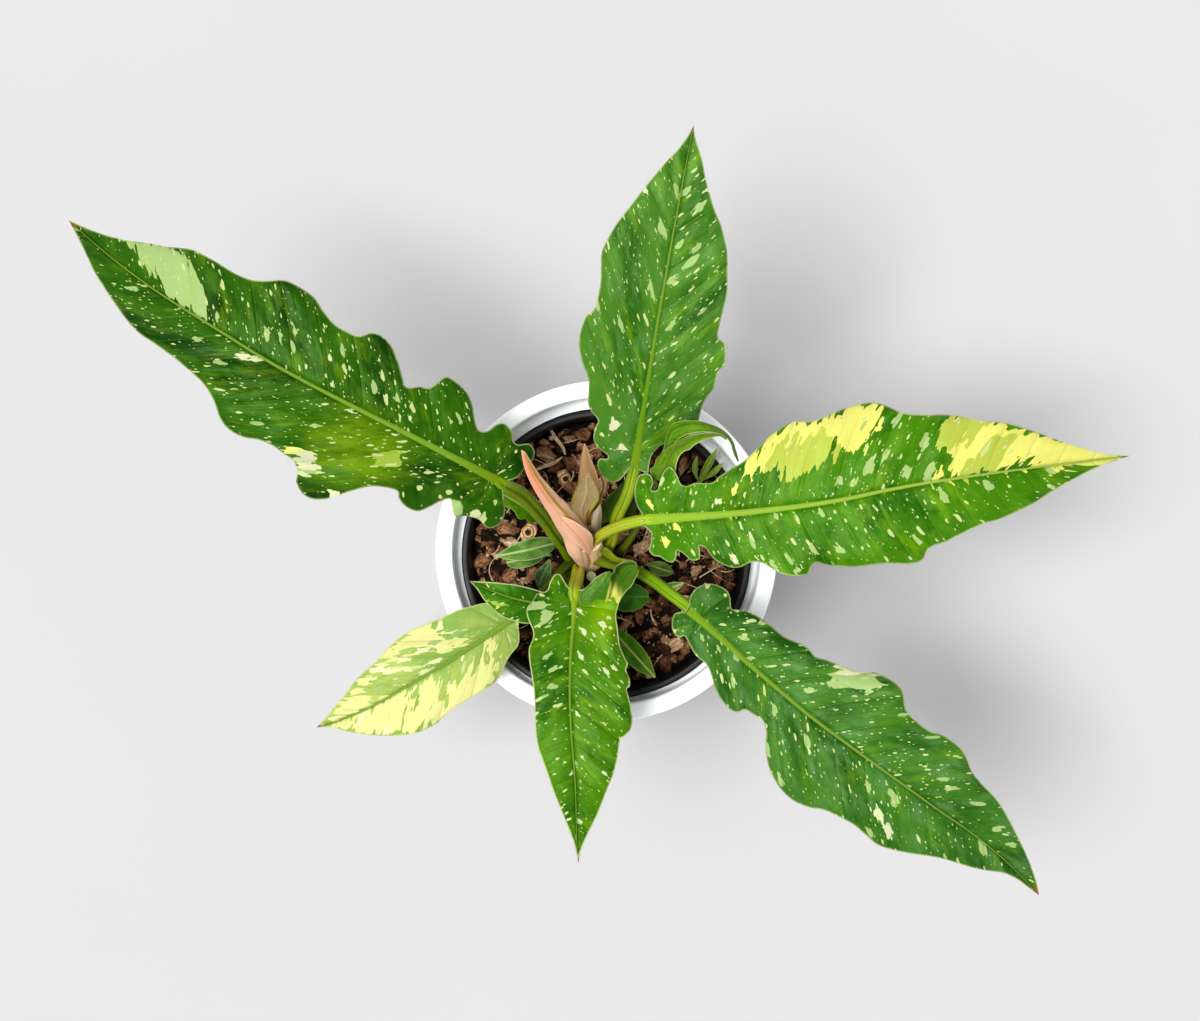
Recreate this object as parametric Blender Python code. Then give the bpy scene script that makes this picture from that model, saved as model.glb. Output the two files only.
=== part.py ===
"""A philodendron with lobed leaves, in a plastic liner that stands in a round white pot.

Everything is in metres with +Z up. The origin is the middle of the pot's flat base.
Lengths are written in millimetres and turned to metres by MM.
"""
import math
import random
from dataclasses import dataclass

import bmesh
import bpy
from mathutils import Vector
from mathutils import geometry

MM = 0.001

# Clearances
GAP = 0.3 * MM

# Outer pot
POT_HEIGHT = 160 * MM
POT_TOP_RADIUS = 91.5 * MM
POT_FOOT_RADIUS = 70 * MM
POT_WALL = 6 * MM
POT_FLOOR = 8 * MM
POT_FOOT_ROUND = 5 * MM
RIM_WIDTH = 9 * MM
RIM_DEPTH = 10 * MM
RIM_SLOPE = 4 * MM
RIM_OUTER_ROUND = 2.5 * MM
RIM_INNER_ROUND = 1.5 * MM
POT_SIDES = 56

# Liner
LINER_CENTRE = Vector((0, -2 * MM, 0))
LINER_TOP = 152 * MM
LINER_FOOT = POT_FLOOR + GAP
LINER_TOP_RADIUS = 75.5 * MM
LINER_FOOT_RADIUS = 54 * MM
LINER_WALL = 1.2 * MM
LINER_FLOOR = 1.5 * MM
LIP_RADIUS = 78 * MM
LIP_DEPTH = 4.5 * MM
LINER_SIDES = 40
DRAIN_RADIUS = 5 * MM
DRAIN_CIRCLE = 40 * MM
DRAIN_COUNT = 8
DRAIN_SIDES = 12

# Bark mix
MIX_TOP = 140 * MM
MIX_SWELL = 1.4 * MM
MIX_SWELL_RADIUS = 58 * MM
MIX_DIP_RADIUS = 34 * MM
MIX_DIP = 0.6 * MM
CHIP_COUNT = 64
CHIP_LENGTH = (8 * MM, 14 * MM)
CHIP_WIDTH = (4.5 * MM, 8 * MM)
CHIP_HEIGHT = (3.5 * MM, 6 * MM)
CHIP_FIELD_RADIUS = 63 * MM
CHIP_RISE = (0.6 * MM, 2.4 * MM)
CHIP_LOW_RADIUS = 30 * MM
CHIP_TILT = 0.22
CHIP_LENGTH_SHARE = 0.75
CHIP_WIDTH_SHARE = 0.7
CHIP_HEIGHT_SHARE = 0.8
CHIP_CLEARANCE = 1 * MM
CHIP_SEED = 11
HOLE_SHARE = 1.3
HOLE_SIDES = 8
BORE_ABOVE_MIX = 20 * MM

# Crown
CROWN_CENTRE = Vector((-9.7 * MM, -0.2 * MM, 0))
CROWN_FOOT = 118 * MM
CROWN_SIDES = 20
CROWN_HEIGHT = 42.6 * MM
CROWN_PROFILE = (
    (12.0 * MM, 0.0 * MM),
    (12.0 * MM, 20 * MM),
    (11.4 * MM, 27 * MM),
    (10.0 * MM, 32 * MM),
    (8.6 * MM, 37 * MM),
    (6.0 * MM, 40.8 * MM),
    (2.6 * MM, 42.4 * MM),
)
SOCKET_GAP = 0.35 * MM

# Blades
BLADE_THICKNESS = 1.0 * MM
RIB_DEPTH = 4.2 * MM
RIB_TIP_DEPTH = 1.3 * MM
RIB_STEP = 16 * MM
RIB_EDGE_REACH = 0.84
RIB_TIP_HALF_WIDTH = 0.8 * MM
BLADE_CELL = 12.5 * MM
MARGIN_CLEARANCE = 4.5 * MM
RIB_CLEARANCE = 5 * MM
WAVE_REACH = 35 * MM
LIFT_START = 8 * MM
LIFT_DEPTH = 10 * MM
LIFT_LENGTH = 40 * MM
ON_RIB = 0.05
SAME_PLACE = 0.0001

# Stalks and small leaves
STALK_FOOT_REACH = 0.35
ROOT_RISE = 3 * MM
LEAF_THINNING = 0.15
LEAF_THIN_BY = 0.9

# Sections of stalks and leaves, as (sideways, upwards) in half widths and half heights
STALK_SECTION = (
    (1.0, 0.0), (0.8, 0.62), (0.36, 0.82), (0.0, 0.5), (-0.36, 0.82),
    (-0.8, 0.62), (-1.0, 0.0), (-0.7, -0.7), (0.0, -1.0), (0.7, -0.7),
)
ROUND_SECTION = tuple(
    (math.cos(math.radians(a)), math.sin(math.radians(a))) for a in range(0, 360, 36)
)
LEAF_SECTION = ((1.0, 0.0), (0.5, 1.0), (-0.5, 1.0), (-1.0, 0.0), (-0.5, -1.0), (0.5, -1.0))
BOAT_SECTION = (
    (1.0, 0.9), (0.5, 0.05), (0.0, -0.2), (-0.5, 0.05), (-1.0, 0.9),
    (-0.66, -0.5), (0.0, -1.0), (0.66, -0.5),
)
SEAT_SECTION = ((1.0, 1.0), (-1.0, 1.0), (-1.0, -1.0), (1.0, -1.0))
CURLED_SECTION = (
    (0.95, 0.75), (0.1, 0.0), (-0.5, 0.75), (-0.68, 0.62), (0.06, -0.26), (1.05, 0.55),
)


def points_mm(pairs):
    """Turn a row of tuples in millimetres into tuples in metres."""
    return [tuple(value * MM for value in pair) for pair in pairs]


def sizes_mm(pairs):
    """Turn (fraction, millimetres) pairs into (fraction, metres) pairs."""
    return [(fraction, value * MM) for fraction, value in pairs]


def clear_scene():
    """Remove whatever the scene starts with."""
    for old in list(bpy.data.objects):
        bpy.data.objects.remove(old, do_unlink=True)


def finish(name, colour, roughness, metallic=0.0):
    """A plain surface of one colour."""
    material = bpy.data.materials.new(name)
    material.use_nodes = True
    shader = material.node_tree.nodes["Principled BSDF"]
    shader.inputs["Base Color"].default_value = (*colour, 1.0)
    shader.inputs["Roughness"].default_value = roughness
    shader.inputs["Metallic"].default_value = metallic
    return material


def add_object(name, bm, colour=None, roughness=0.5, sharp_angle=40):
    """Make a smooth-shaded object from a mesh that is being edited."""
    bmesh.ops.recalc_face_normals(bm, faces=bm.faces[:])
    mesh = bpy.data.meshes.new(name)
    bm.to_mesh(mesh)
    bm.free()
    mesh.shade_smooth()
    mesh.set_sharp_from_angle(angle=math.radians(sharp_angle))
    piece = bpy.data.objects.new(name, mesh)
    if colour is not None:
        mesh.materials.append(finish(name, colour, roughness))
    bpy.context.scene.collection.objects.link(piece)
    return piece


def combine(target, others, operation, solver="EXACT"):
    """Fuse the others to the target, or cut them from it, and remove them."""
    group = bpy.data.collections.new("shapes")
    bpy.context.scene.collection.children.link(group)
    for other in others:
        bpy.context.scene.collection.objects.unlink(other)
        group.objects.link(other)
    boolean = target.modifiers.new(operation, "BOOLEAN")
    boolean.operation = operation
    boolean.operand_type = "COLLECTION"
    boolean.collection = group
    boolean.solver = solver
    bpy.context.view_layer.update()
    evaluated = target.evaluated_get(bpy.context.evaluated_depsgraph_get())
    mesh = bpy.data.meshes.new_from_object(evaluated)
    target.modifiers.remove(boolean)
    target.data = mesh
    for other in others:
        bpy.data.objects.remove(other, do_unlink=True)
    bpy.data.collections.remove(group)


def arc(centre, radius, start, end, steps):
    """Points of a round stretch in the (radius, height) plane, from start to end in degrees."""
    turned_points = []
    for step in range(steps + 1):
        angle = math.radians(start + (end - start) * step / steps)
        turned_points.append((centre[0] + radius * math.cos(angle), centre[1] + radius * math.sin(angle)))
    return turned_points


def turned(profile, sides, centre):
    """Spin a profile of (radius, height) points round an upright axis."""
    bm = bmesh.new()
    corners = [bm.verts.new((centre.x + radius, centre.y, centre.z + height)) for radius, height in profile]
    for first, second in zip(corners, corners[1:]):
        bm.edges.new((first, second))
    bmesh.ops.spin(
        bm, geom=bm.verts[:] + bm.edges[:], cent=centre, axis=(0, 0, 1), angle=math.tau, steps=sides,
    )
    bmesh.ops.remove_doubles(bm, verts=bm.verts[:], dist=0.001 * MM)
    return bm


def value_at(points, place):
    """Height of a smooth line through (place, value) points, carried on straight past its ends."""
    slopes = []
    for index in range(len(points)):
        before = points[max(index - 1, 0)]
        after = points[min(index + 1, len(points) - 1)]
        slopes.append((after[1] - before[1]) / (after[0] - before[0]))
    if place <= points[0][0]:
        return points[0][1] + slopes[0] * (place - points[0][0])
    for index in range(len(points) - 1):
        start, end = points[index], points[index + 1]
        if place <= end[0]:
            span = end[0] - start[0]
            t = (place - start[0]) / span
            return (
                start[1] * (1 + 2 * t) * (1 - t) ** 2
                + end[1] * t * t * (3 - 2 * t)
                + span * slopes[index] * t * (1 - t) ** 2
                - span * slopes[index + 1] * t * t * (1 - t)
            )
    return points[-1][1] + slopes[-1] * (place - points[-1][0])


def smooth_path(corners, steps):
    """A smooth curve through the corners, with a number of steps for each stretch."""
    path = []
    for index in range(len(corners) - 1):
        before = corners[max(index - 1, 0)]
        start, end = corners[index], corners[index + 1]
        after = corners[min(index + 2, len(corners) - 1)]
        for step in range(steps):
            t = step / steps
            path.append(
                0.5 * (
                    2 * start
                    + (end - before) * t
                    + (2 * before - 5 * start + 4 * end - after) * t * t
                    + (3 * start - before - 3 * end + after) * t ** 3
                )
            )
    path.append(corners[-1])
    return path


def swept(corners, section, half_width, half_height, across=None, steps=2, end_wall=None, curl=0.0):
    """Run a section along a smooth path.

    corners are places in metres, half_width and half_height are (fraction, size) rows along the
    path, and across is the level direction that the section's width keeps to. Without it, the
    width stays level wherever the path goes. end_wall is a (place, normal) plane that trims the
    last ring. curl lifts the section's edges, as a share of the half width.
    """
    path = smooth_path([Vector(corner) for corner in corners], steps)
    lengths = [0.0]
    for first, second in zip(path, path[1:]):
        lengths.append(lengths[-1] + (second - first).length)
    bm = bmesh.new()
    rings = []
    for index, centre in enumerate(path):
        ahead = path[min(index + 1, len(path) - 1)]
        behind = path[max(index - 1, 0)]
        tangent = (ahead - behind).normalized()
        side = across.copy() if across is not None else Vector((0, 0, 1)).cross(tangent)
        side = (side - side.dot(tangent) * tangent).normalized()
        upward = tangent.cross(side)
        fraction = lengths[index] / lengths[-1]
        width = value_at(half_width, fraction)
        height = value_at(half_height, fraction)
        ring = []
        for sideways, up in section:
            lift = curl * width * sideways * sideways
            place = centre + side * (sideways * width) + upward * (up * height + lift)
            if end_wall is not None and index == len(path) - 1:
                wall, normal = end_wall
                place = place + tangent * ((wall - place).dot(normal) / tangent.dot(normal))
            ring.append(bm.verts.new(place))
        rings.append(ring)
    count = len(section)
    for lower, upper in zip(rings, rings[1:]):
        for corner in range(count):
            following = (corner + 1) % count
            a, b, c, d = lower[corner], lower[following], upper[following], upper[corner]
            if section[following][0] > section[corner][0]:
                bm.faces.new((a, b, c))
                bm.faces.new((a, c, d))
            else:
                bm.faces.new((a, b, d))
                bm.faces.new((b, c, d))
    bm.faces.new(rings[0])
    bm.faces.new(rings[-1])
    return bm


def level_across(heading):
    """The level direction to the left of a heading in degrees from +X."""
    angle = math.radians(heading)
    return Vector((-math.sin(angle), math.cos(angle), 0))


@dataclass
class Blade:
    """A lobed blade, laid out along its rib.

    Places are in millimetres: x runs from the rib's foot to the tip, y to the left of it. spine
    gives the rib's height above the floor, rib its sideways bend, and left and right the lobed
    margins from foot to tip. Between the rib and the margin the blade rises, then droops, in
    proportion to the distance and to its square, and the margins wave. left_lift and right_lift
    raise the lobes beside the foot.
    """

    name: str
    foot: tuple
    heading: float
    foot_half_width: float
    spine: list
    rib: list
    left: list
    right: list
    colour: tuple
    rise: float = 0.16
    droop: float = 0.0052
    wave: float = 2.2
    wave_length: float = 46.0
    wave_start: tuple = (0.0, 0.5)
    left_lift: float = 0.0
    right_lift: float = 0.0

    @property
    def length(self):
        """Distance from foot to tip."""
        return self.spine[-1][0]

    def rib_at(self, x):
        """Sideways place of the rib."""
        return value_at(self.rib, x)

    def height(self, x, y):
        """Height of the upper face above the floor."""
        offset = y - self.rib_at(x)
        distance = abs(offset)
        start = self.wave_start[0] if offset > 0 else self.wave_start[1]
        waving = math.sin(math.tau * (x / self.wave_length + start))
        lift = self.left_lift if offset > 0 else self.right_lift
        nearness = max(0.0, 1 - max(x, 0.0) * MM / LIFT_LENGTH)
        past_start = max(0.0, distance * MM - LIFT_START)
        return (
            value_at(self.spine, x)
            + self.rise * distance
            - self.droop * distance ** 2
            + self.wave * (distance * MM / WAVE_REACH) ** 2 * waving
            + lift * nearness * (past_start / LIFT_DEPTH) ** 2
        )

    def outline(self):
        """The margin as one closed row, anticlockwise from the right end of the foot."""
        middle = self.rib_at(0)
        foot = [
            (0.0, middle + self.foot_half_width),
            (0.0, middle),
            (0.0, middle - self.foot_half_width),
        ]
        tip = (self.length, self.rib_at(self.length))
        return foot + list(self.right) + [tip] + list(reversed(self.left))

    def rib_lines(self):
        """Stations along the rib, and the two edges of its ridge."""
        count = round(self.length * MM / RIB_STEP)
        stations = [self.length * step / count for step in range(1, count)]
        edges = []
        for side in (1, -1):
            line = []
            for x in stations:
                share = x / self.length
                if share < RIB_EDGE_REACH:
                    half = self.foot_half_width * (1 - share) + RIB_TIP_HALF_WIDTH / MM * share
                    line.append((x, self.rib_at(x) + side * half))
            edges.append(line)
        return [(x, self.rib_at(x)) for x in stations], edges[0], edges[1]

    def inner_points(self, outline):
        """Points of an even field inside the margin, clear of the margin and the rib."""
        cell = BLADE_CELL / MM
        row_height = cell * math.sqrt(3) / 2
        low_x = min(x for x, y in outline)
        low_y = min(y for x, y in outline)
        high_y = max(y for x, y in outline)
        points = []
        for row in range(int((high_y - low_y) / row_height) + 1):
            y = low_y + (row + 0.5) * row_height
            for column in range(int((self.length - low_x) / cell) + 1):
                x = low_x + (column + 0.5 * (row % 2)) * cell
                clear_of_rib = abs(y - self.rib_at(x)) > RIB_CLEARANCE / MM
                if clear_of_rib and margin_distance(x, y, outline) > MARGIN_CLEARANCE / MM:
                    points.append((x, y))
        return points

    def build(self):
        """Make the blade as a thin closed body with a ridge under its rib."""
        outline = self.outline()
        middle, left_edge, right_edge = self.rib_lines()
        places = [Vector(place) for place in outline]
        tip_index = len(outline) - 1 - len(self.left)
        chains = []
        for line, start, end in ((middle, 1, tip_index), (left_edge, 0, None), (right_edge, 2, None)):
            indices = [start] + list(range(len(places), len(places) + len(line)))
            if end is not None:
                indices.append(end)
            places += [Vector(place) for place in line]
            chains += list(zip(indices, indices[1:]))
        places += [Vector(place) for place in self.inner_points(outline)]
        margin = [list(range(len(outline)))]
        flat, _, triangles, _, _, _ = geometry.delaunay_2d_cdt(places, chains, margin, 1, SAME_PLACE)
        bm = bmesh.new()
        upper, lower = [], []
        for place in flat:
            x, y = place
            height = self.height(x, y)
            on_rib = abs(y - self.rib_at(x)) < ON_RIB
            share = min(max(x / self.length, 0.0), 1.0)
            depth = BLADE_THICKNESS
            if on_rib:
                depth = RIB_DEPTH * (1 - share) + RIB_TIP_DEPTH * share
            upper.append(bm.verts.new((x * MM, y * MM, height * MM)))
            lower.append(bm.verts.new((x * MM, y * MM, height * MM - depth)))
        edge_uses = {}
        for a, b, c in triangles:
            bm.faces.new((upper[a], upper[b], upper[c]))
            bm.faces.new((lower[c], lower[b], lower[a]))
            for pair in ((a, b), (b, c), (c, a)):
                edge_uses.setdefault(frozenset(pair), []).append(pair)
        for pairs in edge_uses.values():
            if len(pairs) == 1:
                a, b = pairs[0]
                bm.faces.new((upper[b], upper[a], lower[a], lower[b]))
        piece = add_object("blade_" + self.name, bm, self.colour, 0.38, 60)
        piece.location = (self.foot[0] * MM, self.foot[1] * MM, 0)
        piece.rotation_euler = (0, 0, math.radians(self.heading))
        return piece


def margin_distance(x, y, outline):
    """Distance in millimetres from a point to a closed outline, negative outside it."""
    nearest = math.inf
    inside = False
    point = Vector((x, y))
    for start, end in zip(outline, outline[1:] + outline[:1]):
        first, second = Vector(start), Vector(end)
        run = second - first
        t = min(max((point - first).dot(run) / run.length_squared, 0.0), 1.0)
        nearest = min(nearest, (first + run * t - point).length)
        if (start[1] > y) != (end[1] > y):
            crossing = start[0] + (y - start[1]) * (end[0] - start[0]) / (end[1] - start[1])
            inside = inside != (crossing > x)
    return nearest if inside else -nearest


@dataclass
class Stalk:
    """A grooved leaf stalk from the crown to the foot of its blade, with its corners in millimetres."""

    name: str
    corners: list
    heading: float
    half_width: float
    half_height: float
    foot_share: float = 1.15

    def run(self, grown=0.0, wall=None):
        """The stalk's body, or with grown the space that it needs all round."""
        widths, heights = (
            [(0, self.foot_share * size + grown), (STALK_FOOT_REACH, size + grown), (1, size + grown)]
            for size in (self.half_width * MM, self.half_height * MM)
        )
        corners = points_mm(self.corners)
        if grown:
            start = Vector(corners[0])
            corners[0] = start - (Vector(corners[1]) - start).normalized() * grown
        return swept(
            corners, STALK_SECTION, widths, heights, across=level_across(self.heading), end_wall=wall,
        )

    def build(self, blade=None):
        """Make the stalk, trimmed just short of its blade's foot."""
        wall = None
        if blade is not None:
            direction = level_across(blade.heading - 90)
            foot = Vector((blade.foot[0], blade.foot[1], 0)) * MM
            foot += level_across(blade.heading) * (blade.rib_at(0) * MM)
            wall = (foot - direction * GAP, direction)
        return add_object("stalk_" + self.name, self.run(wall=wall), (0.33, 0.42, 0.12), 0.45)


@dataclass
class SmallLeaf:
    """A small leaf with its own stalk, which stands in a plain hole in the bark mix.

    foot is the stalk's place in plan, and corners lead from there to the tip, in millimetres.
    widths are (fraction of the path, half width) pairs. A leaf that isn't rooted starts at its
    first corner, inside the stalk that it grows from.
    """

    name: str
    foot: tuple
    corners: list
    widths: list
    colour: tuple
    stalk_radius: float = 0.9
    half_thickness: float = 0.5
    curl: float = 0.15
    sink: float = 7.0
    rooted: bool = True

    def build(self):
        """Make the leaf and its stalk as one body."""
        ground = MIX_TOP / MM
        root = [(*self.foot, ground - self.sink), (*self.foot, ground + ROOT_RISE / MM)]
        corners = (root if self.rooted else []) + list(self.corners)
        widths = [(0, self.stalk_radius * MM)] + sizes_mm(self.widths)
        first_wide = self.widths[0][0]
        heights = [
            (0, self.stalk_radius * MM),
            (first_wide, self.stalk_radius * MM),
            (min(first_wide + LEAF_THINNING, LEAF_THIN_BY), self.half_thickness * MM),
            (1, self.half_thickness * MM),
        ]
        reach = Vector(corners[-1]) - Vector(corners[0])
        heading = math.degrees(math.atan2(reach.y, reach.x))
        bm = swept(
            points_mm(corners), LEAF_SECTION, widths, heights,
            across=level_across(heading), curl=self.curl,
        )
        return add_object(self.name, bm, self.colour, 0.45)


def build_outer_pot():
    """The glazed pot: flat base, straight flaring wall and a thick rounded rim."""
    slope = (POT_TOP_RADIUS - POT_FOOT_RADIUS) / POT_HEIGHT
    under_rim = POT_HEIGHT - RIM_DEPTH
    rim_inside = POT_TOP_RADIUS - RIM_WIDTH
    inside_top = POT_TOP_RADIUS - slope * (RIM_DEPTH + RIM_SLOPE) - POT_WALL
    inside_foot = POT_FOOT_RADIUS + slope * POT_FLOOR - POT_WALL
    profile = [(0, 0)]
    profile += arc((POT_FOOT_RADIUS - POT_FOOT_ROUND, POT_FOOT_ROUND), POT_FOOT_ROUND, -90, 0, 3)
    profile += arc(
        (POT_TOP_RADIUS - RIM_OUTER_ROUND, POT_HEIGHT - RIM_OUTER_ROUND), RIM_OUTER_ROUND, 0, 90, 3,
    )
    profile += arc(
        (rim_inside + RIM_INNER_ROUND, POT_HEIGHT - RIM_INNER_ROUND), RIM_INNER_ROUND, 90, 180, 2,
    )
    profile += [
        (rim_inside, under_rim),
        (inside_top, under_rim - RIM_SLOPE),
        (inside_foot, POT_FLOOR + POT_WALL),
        (inside_foot - POT_WALL, POT_FLOOR),
        (0, POT_FLOOR),
    ]
    bm = turned(profile, POT_SIDES, Vector((0, 0, 0)))
    return add_object("outer_pot", bm, (0.86, 0.86, 0.85), 0.22)


def liner_radius(height):
    """Outer radius of the liner's wall at a height."""
    share = (height - LINER_FOOT) / (LINER_TOP - LINER_FOOT)
    return LINER_FOOT_RADIUS + (LINER_TOP_RADIUS - LINER_FOOT_RADIUS) * share


def build_liner():
    """The black plastic liner with its rolled lip and drain holes."""
    lip_foot = LINER_TOP - LIP_DEPTH
    top_inside = liner_radius(LINER_TOP) - LINER_WALL
    profile = [(0, LINER_FOOT), (LINER_FOOT_RADIUS - LINER_WALL, LINER_FOOT)]
    profile += [(LINER_FOOT_RADIUS, LINER_FOOT + LINER_WALL)]
    profile += [(liner_radius(lip_foot), lip_foot), (LIP_RADIUS, lip_foot)]
    profile += arc((LIP_RADIUS - LINER_WALL, LINER_TOP - LINER_WALL), LINER_WALL, 0, 90, 2)
    profile += [(top_inside + LINER_WALL, LINER_TOP), (top_inside, LINER_TOP - LINER_WALL)]
    floor_top = LINER_FOOT + LINER_FLOOR
    profile += [(liner_radius(floor_top) - LINER_WALL, floor_top), (0, floor_top)]
    bm = turned(profile, LINER_SIDES, LINER_CENTRE)
    liner = add_object("liner_pot", bm, (0.015, 0.015, 0.016), 0.5)
    drains = []
    for index in range(DRAIN_COUNT):
        angle = math.tau * index / DRAIN_COUNT
        place = LINER_CENTRE + Vector((math.cos(angle), math.sin(angle), 0)) * DRAIN_CIRCLE
        low = LINER_FOOT - LINER_FLOOR
        drains.append(upright_rod("drain", place, DRAIN_RADIUS, low, 3 * LINER_FLOOR, DRAIN_SIDES))
    combine(liner, drains, "DIFFERENCE")
    return liner


def upright_rod(name, place, radius, low, height, sides):
    """An upright cylinder with its foot at a height."""
    bm = bmesh.new()
    bmesh.ops.create_cone(
        bm, cap_ends=True, segments=sides, radius1=radius, radius2=radius, depth=height,
    )
    bmesh.ops.translate(bm, verts=bm.verts[:], vec=(place.x, place.y, low + height / 2))
    return add_object(name, bm)


def build_chip(draw, place, turn):
    """One bark chip: a rough block, tilted, with its lower half in the mix."""
    bm = bmesh.new()
    bmesh.ops.create_cube(bm, size=1)
    length = draw.uniform(*CHIP_LENGTH)
    width = draw.uniform(*CHIP_WIDTH)
    height = draw.uniform(*CHIP_HEIGHT)
    for vert in bm.verts:
        vert.co.x *= length * draw.uniform(CHIP_LENGTH_SHARE, 1.0)
        vert.co.y *= width * draw.uniform(CHIP_WIDTH_SHARE, 1.0)
        vert.co.z *= height * draw.uniform(CHIP_HEIGHT_SHARE, 1.0)
    bmesh.ops.triangulate(bm, faces=bm.faces[:])
    chip = add_object("chip", bm)
    chip.location = place
    chip.rotation_euler = (draw.uniform(-CHIP_TILT, CHIP_TILT), draw.uniform(-CHIP_TILT, CHIP_TILT), turn)
    return chip


def build_bark_mix(stems):
    """The bark mix: a block that fills the liner, chips on top, and a hole for each of the stems.

    Each stem is its place in plan, its radius and its depth in the mix, in millimetres.
    """
    low = LINER_FOOT + LINER_FLOOR + GAP
    inset = LINER_WALL + 1.2 * GAP
    profile = [
        (0, low),
        (liner_radius(low) - inset, low),
        (liner_radius(MIX_TOP) - inset, MIX_TOP),
        (MIX_SWELL_RADIUS, MIX_TOP + MIX_SWELL),
        (MIX_DIP_RADIUS, MIX_TOP - MIX_DIP),
        (0, MIX_TOP + MIX_SWELL / 2),
    ]
    bm = turned(profile, LINER_SIDES, LINER_CENTRE)
    mix = add_object("bark_mix", bm, (0.12, 0.07, 0.045), 0.85)
    draw = random.Random(CHIP_SEED)
    holes = [(Vector((*foot, 0)) * MM, radius * MM, depth * MM) for foot, radius, depth in stems]
    chips = []
    while len(chips) < CHIP_COUNT:
        angle = draw.uniform(0, math.tau)
        reach = CHIP_FIELD_RADIUS * math.sqrt(draw.uniform(0, 1))
        place = LINER_CENTRE + Vector((math.cos(angle), math.sin(angle), 0)) * reach
        turn = draw.uniform(0, math.tau)
        from_crown = (place - CROWN_CENTRE).length
        half_chip = CHIP_LENGTH[1] / 2
        near_hole = any(
            (place - hole).length < half_chip + CHIP_CLEARANCE + radius for hole, radius, _ in holes
        )
        if near_hole or from_crown < CROWN_PROFILE[0][0] + half_chip:
            continue
        rise = draw.uniform(*CHIP_RISE)
        if from_crown < CHIP_LOW_RADIUS:
            rise = CHIP_RISE[0]
        place.z = MIX_TOP + rise
        chips.append(build_chip(draw, place, turn))
    combine(mix, chips, "UNION", "MANIFOLD")
    crown_bore = CROWN_PROFILE[0][0] + 2 * GAP
    bore_top = MIX_TOP + BORE_ABOVE_MIX
    low = CROWN_FOOT - GAP
    cutters = [upright_rod("bore", CROWN_CENTRE, crown_bore, low, bore_top - low, CROWN_SIDES)]
    for place, radius, depth in holes:
        bore = HOLE_SHARE * radius + GAP
        low = MIX_TOP - depth - GAP
        cutters.append(upright_rod("bore", place, bore, low, bore_top - low, HOLE_SIDES))
    combine(mix, cutters, "DIFFERENCE", "MANIFOLD")
    return mix


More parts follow.
